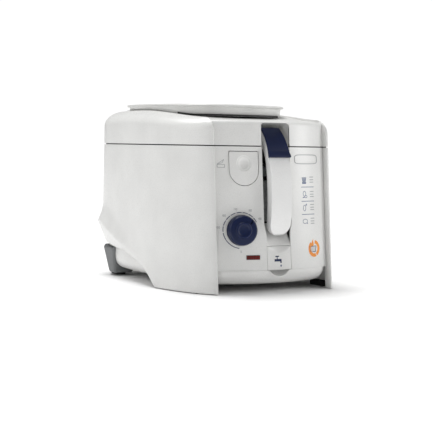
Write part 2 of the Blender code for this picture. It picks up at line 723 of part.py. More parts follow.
def latch_parts(base_material, lid_material, pin_material):
    x = BUTTON_X
    bore_y = fascia_y(x, LATCH_PIVOT_Z) + LATCH_PIVOT_DEPTH
    arc = [(bore_y + 0.0032 * math.cos(a), LATCH_PIVOT_Z + 0.0032 * math.sin(a))
           for a in np.linspace(-math.pi, 0, 9)]
    top = fascia_y(x, 0.203)
    shape = arc + [(top + 0.0105, 0.203), (top + 0.0078, 0.203)]
    lever = add_object("latch_lever", prism(shape, x - LATCH_HALF, x + LATCH_HALF, "X"), base_material)
    cut(lever, along(disc(0.0016, -0.02, 0.02, 16), (1, 0, 0), (x, bore_y, LATCH_PIVOT_Z)), "latch_bore_cutter")
    add_object("latch_pin", along(disc(0.0012, -0.012, 0.012, 16), (1, 0, 0), (x, bore_y, LATCH_PIVOT_Z)),
               pin_material)
    tongue_x = x - 0.0090
    wall_y = fascia_y(tongue_x, LEDGE_TOP_Z) + 0.0050
    tongue = block((tongue_x - 0.0025, wall_y, 0.2025), (tongue_x + 0.0025, wall_y + 0.0022, 0.2240))
    add_object("lid_latch_tongue", tongue, lid_material)


# ---------------------------------------------------------------- front fittings
def fascia_normal(x):
    return Vector((2 * FASCIA_BOW * x, -1.0, FRONT_LEAN)).normalized()


def temperature_control(knob_material, metal, body_material):
    axis = fascia_normal(KNOB_X)
    seat = Vector((KNOB_X, fascia_y(KNOB_X, KNOB_Z), KNOB_Z))
    r, h = KNOB_RADIUS, KNOB_HEIGHT
    profile = [(0.0034, 0.0010), (r, 0.0010), (r, 0.003), (r - 0.0008, h - 0.005), (r - 0.003, h - 0.0022),
               (0.0115, h - 0.0022), (0.0108, h - 0.0002), (0.009, h), (0.006, h - 0.001), (0, h - 0.0016),
               (0, 0.0085), (0.0034, 0.0085)]
    add_object("temperature_knob", along(turned(profile, 32, True), axis, seat), knob_material)
    add_object("thermostat_shaft", along(disc(0.003, -0.022, 0.008, 16), axis, seat), metal)
    body = along(block((-0.016, -0.016, -0.024), (0.016, 0.016, -0.006)), axis, seat)
    item = add_object("thermostat_body", body, body_material)
    cut(item, along(disc(0.0035, -0.04, 0.0, 16), axis, seat), "thermostat_bore_cutter")


def indicator(lens_material):
    lens = block((LAMP_X - 0.0100, -0.0010, LAMP_Z - 0.0030), (LAMP_X + 0.0100, 0.0032, LAMP_Z + 0.0030))
    add_object("indicator_lens", along_surface(bevelled(lens, 0.0009)), lens_material)


SCOOP_FOOT_Z = 0.057
SCOOP_TOP_Z = 0.098
SCOOP_DEPTH = 0.026


def scoop_depth(x, z):
    """Finger scoop that starts low on the drain door and deepens up into the channel."""
    foot = SCOOP_FOOT_Z + (DOOR_TOP_Z - SCOOP_FOOT_Z) * (x / DOOR_HALF_WIDTH) ** 2
    if z <= foot:
        return 0.0
    return SCOOP_DEPTH * ((z - foot) / (SCOOP_TOP_Z - SCOOP_FOOT_Z)) ** 1.25


def scooped(name, half, low, high, material, columns, rows):
    def place(column, row, depth):
        x = half * (2 * column / columns - 1)
        z = low + (high - low) * row / rows
        return Vector((x, fascia_y(x, z) + depth + scoop_depth(x, z), z))
    maker = grid_shell(columns, rows, lambda c, r: place(c, r, 0.0), lambda c, r: place(c, r, 0.002))
    return add_object(name, maker, material)


DOOR_PIVOT_Y = fascia_y(0, DOOR_TOP_Z) + 0.0016
DOOR_PIVOT_Z = DOOR_TOP_Z - 0.0016


LINER_WALL = 0.002


def channel_liner(material):
    """Grey trough behind the handle, with a slot across its back wall."""
    half, outer = CHANNEL_HALF_WIDTH + 0.0002, CHANNEL_HALF_WIDTH + LINER_WALL
    front = FASCIA_BOW * outer ** 2 + WALL + 1.2 * GAP
    back = CHANNEL_DEPTH + 0.0013
    shape = [(-outer, front), (-outer, back + LINER_WALL), (outer, back + LINER_WALL), (outer, front),
             (half, front), (half, back), (-half, back), (-half, front)]
    maker = prism([(x, y + FASCIA_Y) for x, y in shape], 0.100, 0.1795, "Z")
    for vert in maker.verts:
        vert.co.y += FRONT_LEAN * vert.co.z
    item = add_object("channel_liner", maker, material)
    cut(item, block((-0.022, -0.16, 0.160), (0.022, -0.12, 0.1655)), "channel_slot_cutter")
    return item


# ---------------------------------------------------------------- handle and lift gear
RACK_PITCH = BASKET_LIFT / 7
GEAR_MODULE = RACK_PITCH / math.pi
SECTOR_RADIUS = BASKET_LIFT / HANDLE_TRAVEL
PINION_TEETH = 10
PINION_RADIUS = PINION_TEETH * GEAR_MODULE / 2
SECTOR_TEETH = 2 * SECTOR_RADIUS / GEAR_MODULE
ADDENDUM = 0.0011
DEDENDUM = 0.0015
BACKLASH = 0.0006
GEAR_HALF = 0.005
PINION_ANGLE = math.radians(-45)   # from the handle's pivot to the pinion
PINION_Y = HANDLE_PIVOT_Y + (SECTOR_RADIUS + PINION_RADIUS) * math.cos(PINION_ANGLE)
PINION_Z = HANDLE_PIVOT_Z + (SECTOR_RADIUS + PINION_RADIUS) * math.sin(PINION_ANGLE)
RACK_Y = PINION_Y + PINION_RADIUS * math.cos(TILT)
RACK_Z = PINION_Z - PINION_RADIUS * math.sin(TILT)


def tooth_points(radius, angle):
    """Root, tip, tip, root of one straight-sided tooth, as polar points."""
    half = (RACK_PITCH / 2 - BACKLASH) / 2
    root = half + DEDENDUM * math.tan(math.radians(20))
    tip = half - ADDENDUM * math.tan(math.radians(20))
    inner, outer = radius - DEDENDUM, radius + ADDENDUM
    return [(inner, angle - root / radius), (outer, angle - tip / radius),
            (outer, angle + tip / radius), (inner, angle + root / radius)]


def lift_gears(gear_material, metal):
    pinion_tooth = -TILT
    points = []
    for i in range(PINION_TEETH):
        angle = pinion_tooth + 2 * math.pi * i / PINION_TEETH
        points += [(PINION_Y + r * math.cos(a), PINION_Z + r * math.sin(a))
                   for r, a in tooth_points(PINION_RADIUS, angle)]
    pinion = add_object("lift_pinion", prism(points, -GEAR_HALF, GEAR_HALF, "X"), gear_material)
    cut(pinion, along(disc(0.0024, -0.02, 0.02, 16), (1, 0, 0), (0, PINION_Y, PINION_Z)), "pinion_bore_cutter")
    for name, half, y, z in (("pinion_pin", 0.0098, PINION_Y, PINION_Z),
                             ("handle_pin", 0.0145, HANDLE_PIVOT_Y, HANDLE_PIVOT_Z)):
        add_object(name, along(disc(0.002, -half, half, 16), (1, 0, 0), (0, y, z)), metal)

    step = 2 * math.pi / PINION_TEETH
    towards = math.pi + PINION_ANGLE
    nearest = pinion_tooth + round((towards - pinion_tooth) / step) * step
    shift = (towards - nearest) * PINION_RADIUS / SECTOR_RADIUS
    pitch = 2 * math.pi / SECTOR_TEETH
    points = []
    for i in range(9):
        angle = PINION_ANGLE + shift + (i - 0.5) * pitch
        points += [(HANDLE_PIVOT_Y + r * math.cos(a), HANDLE_PIVOT_Z + r * math.sin(a))
                   for r, a in tooth_points(SECTOR_RADIUS, angle)]
    hub = [(HANDLE_PIVOT_Y + 0.006 * math.cos(a), HANDLE_PIVOT_Z + 0.006 * math.sin(a))
           for a in np.linspace(math.radians(80), math.radians(280), 9)]
    sector = add_object("lift_sector", prism(points + hub, -GEAR_HALF, GEAR_HALF, "X"), gear_material)
    cut(sector, along(disc(0.0023, -0.02, 0.02, 16), (1, 0, 0), (0, HANDLE_PIVOT_Y, HANDLE_PIVOT_Z)),
        "sector_bore_cutter")


BLOCK_LOW, BLOCK_HIGH = -0.050, -0.034
ROD_X = 0.012
ROD_BACK = 0.0093
ROD_RADIUS = 0.00175


def lift_carriage(material, metal):
    """Rack, guide block, guide rods and the arm over the bowl's rim, on the tilted rack axis."""
    rack_axis = add_pivot("rack_axis", (0, RACK_Y, RACK_Z), -TILT)
    half = (RACK_PITCH / 2 - BACKLASH) / 2
    root = half + DEDENDUM * math.tan(math.radians(20))
    tip = half - ADDENDUM * math.tan(math.radians(20))
    points = [(0.0060, 0.0055), (0.0060, -0.0385)]
    points.append((DEDENDUM, -0.0385))
    for i in range(-7, 1):
        middle = (i - 0.5) * RACK_PITCH + RACK_PITCH
        points += [(DEDENDUM, middle - root), (-ADDENDUM, middle - tip), (-ADDENDUM, middle + tip),
                   (DEDENDUM, middle + root)]
    points.append((DEDENDUM, 0.0055))
    rack = prism(points, -GEAR_HALF + 0.0005, GEAR_HALF - 0.0005, "X")
    guide = block((-0.017, 0.0055, BLOCK_LOW), (0.017, 0.0123, BLOCK_HIGH))
    item = add_object("lift_carriage", guide, material, rack_axis)
    cut(item, rack, "rack_bar", "UNION")
    bores = [along(disc(ROD_RADIUS + RUNNING_GAP, -0.03, 0.03, 16), (0, 0, 1),
                   (sign * ROD_X, ROD_BACK, (BLOCK_LOW + BLOCK_HIGH) / 2)) for sign in (-1, 1)]
    cut(item, joined(*bores), "guide_bore_cutter")
    for side, sign in (("left", -1), ("right", 1)):
        rod = moved(disc(ROD_RADIUS, -0.054, -0.006, 12), Matrix.Translation((sign * ROD_X, ROD_BACK, 0)))
        add_object(f"guide_rod_{side}", rod, metal, rack_axis)
    ring_y, ring_z = tilted_point(-(RING_INNER + RING_OUTER) / 2, RING_TOP)
    foot_y = ring_y - 0.0012
    high = BOWL_FLANGE_Z + SHEET + 0.0038
    shape = [(RACK_Y + 0.0005, high), (RACK_Y + 0.0005, high - 0.0024), (foot_y, high - 0.0024),
             (foot_y, ring_z + 0.0012), (foot_y + 0.0024, ring_z + 0.0012), (foot_y + 0.0024, high)]
    add_object("lift_arm", prism(shape, -ARM_HALF_WIDTH, ARM_HALF_WIDTH, "X"), metal)


def handle_bracket(material):
    """Two ears that carry the handle's pin and the pinion's pin, on a cross plate."""
    plate_low, plate_high = 0.1805, 0.1830
    item = add_object("handle_bracket", block((-0.022, -0.143, plate_low), (0.022, -0.1255, plate_high)), material)
    upper = [(HANDLE_PIVOT_Y + 0.0046 * math.cos(a), HANDLE_PIVOT_Z + 0.0046 * math.sin(a))
             for a in np.linspace(math.radians(45), math.radians(225), 9)]
    lower = [(-0.1400, plate_low + 0.001), (-0.1275, plate_low + 0.001), (PINION_Y + 0.0048, PINION_Z - 0.002),
             (PINION_Y + 0.0045, PINION_Z + 0.002)]
    for name, low in (("ear_left", -0.0095), ("ear_right", 0.0065)):
        cut(item, prism(upper + lower, low, low + 0.003, "X"), name, "UNION")
    for name, y, z, radius in (("pivot_bore", HANDLE_PIVOT_Y, HANDLE_PIVOT_Z, 0.0025),
                               ("idler_bore", PINION_Y, PINION_Z, 0.0023)):
        cut(item, along(disc(radius, -0.03, 0.03, 16), (1, 0, 0), (0, y, z)), name)


SLIDER_Y = -0.1062        # centre of the slider's curved track
SLIDER_Z = 0.1750
SLIDER_RADIUS = 0.0755
SLIDER_THICKNESS = 0.0026
SLIDER_FROM = math.radians(126)
SLIDER_TO = math.radians(166)


def arc_points(radius, start, end, count):
    return [(SLIDER_Y + radius * math.cos(a), SLIDER_Z + radius * math.sin(a))
            for a in np.linspace(start, end, count)]


def curved(points, per_span):
    """A smooth open curve through a few points (Catmull-Rom)."""
    ends = [2 * Vector(points[0]) - Vector(points[1])] + [Vector(p) for p in points]
    ends.append(2 * Vector(points[-1]) - Vector(points[-2]))
    result = []
    for a, b, c, d in zip(ends, ends[1:], ends[2:], ends[3:]):
        for i in range(per_span):
            s = i / per_span
            result.append(tuple(0.5 * (2 * b + (c - a) * s + (2 * a - 5 * b + 4 * c - d) * s ** 2
                                       + (3 * b - a - 3 * c + d) * s ** 3)))
    return result + [tuple(points[-1])]


GRIP_FRONT = [(-0.1810, 0.182), (-0.1853, 0.162), (-0.1870, 0.137), (-0.1868, 0.115), (-0.1846, 0.096),
              (-0.1812, 0.0855), (-0.1775, 0.0822)]
GRIP_BACK = [(-0.1742, 0.0862), (-0.1748, 0.100), (-0.1756, 0.120), (-0.1750, 0.142), (-0.1728, 0.165),
             (-0.1680, 0.188), (-0.1610, 0.203), (-0.1530, 0.2085)]


def handle_grip(material, slider_material):
    under = SLIDER_RADIUS - SLIDER_THICKNESS - RUNNING_GAP
    crown = arc_points(under, SLIDER_FROM, SLIDER_TO + 0.012, 6)
    hub = [(HANDLE_PIVOT_Y + 0.0075 * math.cos(a), HANDLE_PIVOT_Z + 0.0075 * math.sin(a))
           for a in np.linspace(math.radians(-70), math.radians(50), 5)]
    shape = crown + curved(GRIP_FRONT, 3) + curved(GRIP_BACK, 3) + hub
    half = HANDLE_WIDTH / 2
    item = add_object("handle_grip", bevelled(prism(shape, -half, half, "X"), 0.0022, 60, 2), material)
    cut(item, block((-0.0102, -0.159, 0.1905), (0.0102, -0.12, 0.2275)), "fork_cutter")
    cut(item, along(disc(0.0023, -0.03, 0.03, 16), (1, 0, 0), (0, HANDLE_PIVOT_Y, HANDLE_PIVOT_Z)),
        "grip_bore_cutter")
    low = SLIDER_RADIUS - SLIDER_THICKNESS
    lip = arc_points(SLIDER_RADIUS + 0.0016, SLIDER_TO - 0.05, SLIDER_TO, 3)
    shape = arc_points(SLIDER_RADIUS, SLIDER_FROM, SLIDER_TO - 0.08, 8) + lip
    shape += arc_points(low, SLIDER_TO, SLIDER_FROM, 9)
    add_object("handle_slider", prism(shape, -0.018, 0.018, "X"), slider_material)


# ---------------------------------------------------------------- bowl, basket and drive
RING_INNER = 0.0975
RING_OUTER = 0.1000
RING_LOW = 0.050
RING_TOP = 0.058
ROLLER_RADIUS = 0.004
ROLLER_LENGTH = 0.0032
CONE_TOP = 0.048
CHIMNEY_TOP = 0.031
CHIMNEY_BORE = 0.0065
CHIMNEY_RADIUS = 0.009
SHAFT_RADIUS = 0.003


def tilted_point(across, height):
    """World Y and Z of a point in the basket's mid plane."""
    y = BOWL_Y + BASKET_OFFSET_Y + across * math.cos(TILT) + height * math.sin(TILT)
    return y, BASKET_SEAT_Z + height * math.cos(TILT) - across * math.sin(TILT)


def oil_bowl(material, tilt_axis):
    r, floor, rim = BOWL_RADIUS, BOWL_FLOOR_Z, BOWL_FLANGE_Z
    corner = 0.012
    curve = [(r - corner + corner * math.sin(a), floor + corner - corner * math.cos(a))
             for a in np.linspace(0, math.pi / 2, 4)]
    under = [(r - corner + (corner + SHEET) * math.sin(a), floor + corner - (corner + SHEET) * math.cos(a))
             for a in np.linspace(math.pi / 2, 0, 4)]
    profile = [(0, floor)] + curve + [(r, rim + SHEET), (BOWL_FLANGE_RADIUS, rim + SHEET),
                                      (BOWL_FLANGE_RADIUS, rim), (r + SHEET, rim)] + under
    profile.append((0, floor - SHEET))
    item = add_object("oil_bowl", turned(profile, 44), material, location=(0, BOWL_Y, 0))
    chimney = disc(CHIMNEY_RADIUS, -0.0262, CHIMNEY_TOP, 20)
    bore = disc(CHIMNEY_BORE, -0.04, CHIMNEY_TOP + 0.01, 20)
    for name, maker, operation in (("chimney", chimney, "UNION"), ("chimney_bore", bore, "DIFFERENCE")):
        cutter = cut(item, maker, name, operation)
        cutter.parent = tilt_axis
        cutter.location = (0, 0, 0)
    drain = moved(disc(0.0035, -0.01, 0.01, 16), Matrix.Translation((0, DRAIN_Y, floor)))
    cut(item, drain, "drain_cutter").location = (0, 0, 0)
    return item


DRAIN_Y = -0.078
HOSE_Z = 0.044
HOSE_RADIUS = 0.005


def tube(path, radius, bore, sides=12):
    """A bent tube with a wall, swept along a list of points in one plane (X constant)."""
    loops = []
    maker = bmesh.new()
    points = [Vector(p) for p in path]
    for i, point in enumerate(points):
        ahead = points[min(i + 1, len(points) - 1)] - points[max(i - 1, 0)]
        side = Vector((1, 0, 0))
        normal = ahead.normalized().cross(side)
        rings = []
        for size in (radius, bore):
            rings.append([maker.verts.new(point + size * (side * math.cos(a) + normal * math.sin(a)))
                          for a in np.linspace(0, 2 * math.pi, sides, endpoint=False)])
        loops.append(rings)
    for first, second in zip(loops, loops[1:]):
        for ring_a, ring_b in zip(first, second):
            for k in range(sides):
                n = (k + 1) % sides
                maker.faces.new((ring_a[k], ring_a[n], ring_b[n], ring_b[k]))
    for rings in (loops[0], loops[-1]):
        for k in range(sides):
            n = (k + 1) % sides
            maker.faces.new((rings[0][k], rings[0][n], rings[1][n], rings[1][k]))
    bmesh.ops.recalc_face_normals(maker, faces=maker.faces)
    return maker


def drain(rubber, plug_material):
    turn = 0.009
    start_z = BOWL_FLOOR_Z - SHEET - GAP
    bend = [(0, DRAIN_Y, start_z)]
    bend += [(0, DRAIN_Y - turn + turn * math.cos(a), HOSE_Z + turn - turn * math.sin(a))
             for a in np.linspace(0, math.pi / 2, 5)]
    end_y = fascia_y(0, HOSE_Z) + 0.016
    path = bend + [(0, end_y, bend[-1][2])]
    add_object("drain_hose", tube(path, HOSE_RADIUS, 0.0033), rubber)
    hose_z = bend[-1][2]
    profile = [(0, 0.0), (0.0058, 0.0), (0.0058, 0.003), (0.0029, 0.003), (0.0029, 0.010), (0, 0.010)]
    cap = along(turned(profile, 16), (0, 1, 0), (0, end_y - 0.0034, hose_z))
    add_object("drain_cap", cap, plug_material)


def basket(material, socket_material, roller_material, metal, tilt_axis):
    f, r, depth = BASKET_FLOOR_RADIUS, BASKET_RIM_RADIUS, BASKET_DEPTH
    profile = [(0, CONE_TOP), (0.013, CONE_TOP), (0.0268, SHEET), (f - SHEET, SHEET), (r - SHEET, depth),
               (r + 0.0052, depth), (r + 0.0052, depth - SHEET), (r, depth - SHEET), (f, 0), (0.0252, 0),
               (0.0116, CONE_TOP - SHEET), (0, CONE_TOP - SHEET)]
    add_object("basket", turned(profile, 40), material, tilt_axis)
    socket = add_object("basket_socket", disc(0.0085, CHIMNEY_TOP + 0.002, CONE_TOP - SHEET - GAP, 24),
                        socket_material, tilt_axis)
    cut(socket, hexagon(0.0107, CHIMNEY_TOP - 0.01, CONE_TOP - 0.0035), "socket_cutter")
    ring = add_object("carrier_ring", disc(RING_OUTER, RING_LOW, RING_TOP, 40, RING_INNER), metal, tilt_axis)
    height = depth - SHEET - GAP - ROLLER_RADIUS
    middle = BASKET_RIM_RADIUS + 0.0033
    pins = []
    for i, angle in enumerate((90, 210, 330)):
        radial = (math.cos(math.radians(angle)), math.sin(math.radians(angle)), 0)
        centre = Vector(radial) * middle + Vector((0, 0, height))
        roller = along(disc(ROLLER_RADIUS, -ROLLER_LENGTH / 2, ROLLER_LENGTH / 2, 16, 0.0018), radial, centre)
        add_object(f"carrier_roller_{i + 1}", roller, roller_material, tilt_axis)
        set_origin((f"carrier_roller_{i + 1}",), centre)
        start, end = -ROLLER_LENGTH / 2, RING_INNER + 0.0012 - middle
        pins.append(along(disc(0.0014, start, end, 10), radial, centre))
    cut(ring, joined(*pins), "roller_pins", "UNION")


def hexagon(across_flats, low, high):
    radius = across_flats / math.sqrt(3)
    return prism([(radius * math.cos(math.radians(60 * i)), radius * math.sin(math.radians(60 * i)))
                  for i in range(6)], low, high, "Z")


MOTOR_TOP = -0.037
MOTOR_HEIGHT = 0.016


def drive(metal, motor_material, seal_material, dog_material, tilt_axis):
    add_object("gear_motor", disc(0.025, MOTOR_TOP - MOTOR_HEIGHT, MOTOR_TOP, 28), motor_material, tilt_axis)
    add_object("drive_shaft", disc(SHAFT_RADIUS, MOTOR_TOP + GAP, CHIMNEY_TOP + 0.0017, 16), metal, tilt_axis)
    add_object("drive_dog", hexagon(0.010, CHIMNEY_TOP + 0.002, CHIMNEY_TOP + 0.0118), dog_material, tilt_axis)
    add_object("shaft_seal", disc(CHIMNEY_BORE - GAP, CHIMNEY_TOP - 0.008, CHIMNEY_TOP - 0.002, 20,
                                  SHAFT_RADIUS + RUNNING_GAP), seal_material, tilt_axis)


def heater(material):
    ring = [(0.072 + 0.004 * math.cos(a), 0.004 * math.sin(a)) for a in np.linspace(0, 2 * math.pi, 8, False)]
    add_object("heating_element", turned(ring, 36, True), material, location=(0, BOWL_Y, BOWL_FLOOR_Z - 0.0058))


DECK_TOP_Z = BOWL_FLANGE_Z - GAP


def top_deck(material):
    """Flat deck round the bowl that carries its flange, open at the front for the lift gear."""
    def place(column, row, z):
        sign, index = mirrored(column, HALF_COLUMNS)
        angle = -math.pi / 2 + math.pi * index / HALF_COLUMNS
        if index <= FRONT_COLUMNS:
            edge = Vector((0.090 * index / FRONT_COLUMNS, -0.144))
        else:
            t = 0.10 + 0.90 * (index - FRONT_COLUMNS) / SIDE_COLUMNS
            edge = outline(DECK_TOP_Z, t, WALL + 0.0008)
        if row == 1:
            edge = Vector((0.114 * math.cos(angle), BOWL_Y + 0.114 * math.sin(angle)))
        return Vector((sign * edge.x, edge.y, z))
    maker = ring_shell(2 * HALF_COLUMNS, 1, lambda c, r: place(c, r, DECK_TOP_Z),
                       lambda c, r: place(c, r, DECK_TOP_Z - 0.002))
    item = add_object("top_deck", maker, material)
    cut(item, block((-CHANNEL_HALF_WIDTH, -0.17, 0.18), (CHANNEL_HALF_WIDTH, -0.094, 0.20)), "deck_notch_cutter")
    return item


# ---------------------------------------------------------------- rear, feet and small parts
def hinges(bracket_material, arm_material, metal):
    """Outside hinge: two pairs of lugs and two arms on cross strips, on one long pin."""
    radius, lug, half = 0.0036, 0.0048, 0.0102
    y_face = BODY_REAR_Y + GAP
    circle = [(HINGE_Y + radius * math.cos(a), HINGE_Z + radius * math.sin(a))
              for a in np.linspace(0, math.pi, 9)]
    foot = [(y_face, HINGE_Z), (y_face, 0.186), (y_face + 0.003, 0.186), (HINGE_Y + radius, HINGE_Z - 0.006)]
    upper = [(HINGE_Y + radius * math.cos(a), HINGE_Z + radius * math.sin(a))
             for a in np.linspace(math.pi, 2 * math.pi, 9)]
    arm = upper + [(y_face + 0.0030, 0.232), (y_face, 0.235), (y_face, HINGE_Z + 0.001)]
    sides = (-HINGE_X, HINGE_X)

    def rod(size, length):
        return along(disc(size, -length, length, 14), (1, 0, 0), (0, HINGE_Y, HINGE_Z))
    end = HINGE_X + half
    strip = block((-end, y_face, 0.184), (end, y_face + 0.0028, 0.198))
    brackets = add_object("hinge_bracket", strip, bracket_material)
    lugs = joined(*[prism(circle + foot, low, low + lug, "X") for x in sides for low in (x - half, x + half - lug)])
    cut(brackets, lugs, "hinge_lugs", "UNION")
    cut(brackets, rod(0.0019, 0.07), "bracket_bore")
    strip = block((-HINGE_X, y_face + 0.0001, 0.222), (HINGE_X, y_face + 0.0022, 0.230))
    arms = add_object("hinge_arm", strip, arm_material)
    cut(arms, joined(*[prism(arm, x - 0.0049, x + 0.0049, "X") for x in sides]), "arm_lugs", "UNION")
    cut(arms, rod(0.0019, 0.07), "arm_bore")
    add_object("hinge_pin", rod(0.0015, end), metal)


def base_solid(grow):
    """Filled copy of the base, grown by a gap, for shaping what stands against it."""
    maker = bmesh.new()
    rows = len(BASE_RINGS) + 1
    loops = []
    for row in range(rows + 1):
        loop = []
        for column in range(2 * HALF_COLUMNS):
            point = base_point(column, row, False)
            flat = Vector((point.x, point.y - BOWL_Y, 0))
            point += flat.normalized() * grow - Vector((0, 0, grow if row < 2 else 0))
            loop.append(maker.verts.new(point))
        loops.append(loop)
    for lower, upper in zip(loops, loops[1:]):
        for k in range(len(lower)):
            n = (k + 1) % len(lower)
            maker.faces.new((lower[k], lower[n], upper[n], upper[k]))
    maker.faces.new(loops[0])
    maker.faces.new(loops[-1])
    return maker


PAD_HEIGHT = 0.004
LEG_X = 0.105
LEG_Y = 0.131


def feet(leg_material, rubber):
    for side, sign in (("left", -1), ("right", 1)):
        maker = block((-0.010, -0.011, PAD_HEIGHT + GAP), (0.010, 0.011, 0.036))
        for vert in maker.verts:
            share = (vert.co.z - PAD_HEIGHT) / 0.032
            vert.co.x = sign * LEG_X + vert.co.x * (1 + 0.30 * share)
            vert.co.y = LEG_Y + vert.co.y * (1 + 0.60 * share) + 0.006 * share
        leg = add_object(f"rear_leg_{side}", bevelled(maker, 0.003), leg_material)
        cut(leg, base_solid(GAP), f"leg_cutter_{side}")
        pad = block((sign * LEG_X - 0.008, LEG_Y - 0.009, 0), (sign * LEG_X + 0.008, LEG_Y + 0.009, PAD_HEIGHT))
        add_object(f"foot_pad_rear_{side}", pad, rubber)
        low, high = sorted((sign * 0.1025, sign * 0.1135))
        add_object(f"foot_pad_front_{side}", block((low, -0.146, 0), (high, -0.112, 0.008)), rubber)


def cord_gland(material):
    profile = [(0.0036, -0.010), (0.0058, -0.010), (0.0058, GAP), (0.009, GAP), (0.009, 0.0022),
               (0.0065, 0.003), (0.0052, 0.0078), (0.0036, 0.0078)]
    add_object("cord_gland", along(turned(profile, 20, True), (0, 1, 0), (CORD_X, BODY_REAR_Y, CORD_Z)), material)


def small_parts(dark):
    terminal = block((-0.020, 0.140, 0.014), (0.020, 0.158, 0.028))
    add_object("terminal_block", terminal, dark)
    switch = block((0.062, 0.146, 0.176), (0.082, 0.156, 0.190))
    add_object("lid_safety_switch", switch, dark)


def set_origin(names, point):
    """Puts the origin of a moving piece on its joint's axis, without moving the piece."""
    for name in names:
        item = bpy.data.objects[name]
        shift = Vector(point) - item.location
        item.data.transform(Matrix.Translation(-shift))
        item.location = point


def place_origins():
    lever_y = fascia_y(BUTTON_X, LATCH_PIVOT_Z) + LATCH_PIVOT_DEPTH
    set_origin(("lid_shell", "lid_liner", "lid_seal", "hinge_arm", "lid_latch_tongue"), (0, HINGE_Y, HINGE_Z))
    set_origin(("handle_grip", "lift_sector"), (0, HANDLE_PIVOT_Y, HANDLE_PIVOT_Z))
    set_origin(("handle_slider",), (0, SLIDER_Y, SLIDER_Z))
    set_origin(("lift_pinion",), (0, PINION_Y, PINION_Z))
    set_origin(("latch_lever",), (BUTTON_X, lever_y, LATCH_PIVOT_Z))
    set_origin(("temperature_knob", "thermostat_shaft"), (KNOB_X, fascia_y(KNOB_X, KNOB_Z), KNOB_Z))
    set_origin(("drain_door",), (0, DOOR_PIVOT_Y, DOOR_PIVOT_Z))


def main():
    clear_scene()
    white = plastic("white_plastic", (0.80, 0.80, 0.78), 0.35)
    navy = plastic("navy_plastic", (0.012, 0.024, 0.085), 0.35)
    grey = plastic("grey_plastic", (0.26, 0.27, 0.27), 0.55)
    dark = plastic("black_plastic", (0.02, 0.02, 0.02), 0.5)
    red = plastic("red_lens", (0.16, 0.015, 0.01), 0.2)
    steel = plastic("steel", (0.60, 0.60, 0.58), 0.3, 1.0)
    enamel = plastic("bowl_coating", (0.04, 0.04, 0.045), 0.4)
    rubber = plastic("rubber", (0.03, 0.03, 0.03), 0.8)
    tilt_axis = add_pivot("basket_axis", (0, BOWL_Y + BASKET_OFFSET_Y, BASKET_SEAT_Z), -TILT)

    base_shell(white)
    side_panel("side_panel_left", -1, white)
    side_panel("side_panel_right", 1, white)
    rear_panel(white)
    front_fascia(white)
    top_deck(white)
    channel_liner(grey)
    scooped("finger_scoop", DOOR_HALF_WIDTH - 0.0005, DOOR_TOP_Z + 0.0006, SCOOP_TOP_Z, white, 10, 6)
    scooped("drain_door", DOOR_HALF_WIDTH - RUNNING_GAP, FASCIA_BOTTOM_Z + 0.0006, DOOR_TOP_Z, white, 10, 6)

    lid_shell(white)
    filter_cover(white)
    odour_filter(dark)
    lid_liner(steel)
    lid_seal(rubber)
    hinges(white, white, steel)

    lid_release_button(white)
    latch_parts(dark, white, steel)
    temperature_control(navy, steel, dark)
    indicator(red)

    handle_grip(white, navy)
    handle_bracket(dark)
    lift_gears(dark, steel)
    lift_carriage(dark, steel)

    oil_bowl(enamel, tilt_axis)
    basket(steel, dark, dark, steel, tilt_axis)
    drive(steel, dark, rubber, dark, tilt_axis)
    heater(dark)
    drain(rubber, navy)

    feet(grey, rubber)
    cord_gland(dark)
    small_parts(dark)
    place_origins()
    bpy.context.view_layer.update()


main()
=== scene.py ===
import functools
import json
import math

import bmesh
import bpy
import numpy as np
from mathutils import Matrix, Vector


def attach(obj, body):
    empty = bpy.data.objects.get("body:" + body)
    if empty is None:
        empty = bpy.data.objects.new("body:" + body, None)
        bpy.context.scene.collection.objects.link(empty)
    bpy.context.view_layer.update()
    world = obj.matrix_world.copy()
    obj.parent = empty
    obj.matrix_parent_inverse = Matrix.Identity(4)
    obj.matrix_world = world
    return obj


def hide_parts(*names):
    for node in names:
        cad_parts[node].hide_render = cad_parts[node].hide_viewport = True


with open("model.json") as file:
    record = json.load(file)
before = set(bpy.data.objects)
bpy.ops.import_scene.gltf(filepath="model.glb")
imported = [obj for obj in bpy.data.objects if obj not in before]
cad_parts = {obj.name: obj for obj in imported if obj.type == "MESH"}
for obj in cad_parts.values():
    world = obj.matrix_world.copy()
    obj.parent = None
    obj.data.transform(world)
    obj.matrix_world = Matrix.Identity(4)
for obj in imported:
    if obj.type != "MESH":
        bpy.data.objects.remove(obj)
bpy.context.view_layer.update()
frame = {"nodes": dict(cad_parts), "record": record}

MM = 0.001
SHIFT = Vector((0, -0.0092, 0))       # design Y = 0 to the frame's Y = 0


# ------------------------------------------------------------ materials
def linear(hex_colour):
    """sRGB hex to the linear colour that a shader wants."""
    parts = [int(hex_colour[i:i + 2], 16) / 255 for i in (1, 3, 5)]
    return (*[c / 12.92 if c <= 0.04045 else ((c + 0.055) / 1.055) ** 2.4 for c in parts], 1.0)


def add(tree, kind, links=(), settings=(), inputs=()):
    """Adds one node; links are (its input, node, that node's output)."""
    made = tree.nodes.new(kind)
    for name, value in settings:
        setattr(made, name, value)
    for name, value in inputs:
        made.inputs[name].default_value = value
    for name, source, output in links:
        tree.links.new(source.outputs[output], made.inputs[name])
    return made


def new_material(name):
    made = bpy.data.materials.new(name)
    made.use_nodes = True
    tree = made.node_tree
    return made, tree, tree.nodes["Principled BSDF"], add(tree, "ShaderNodeTexCoord")


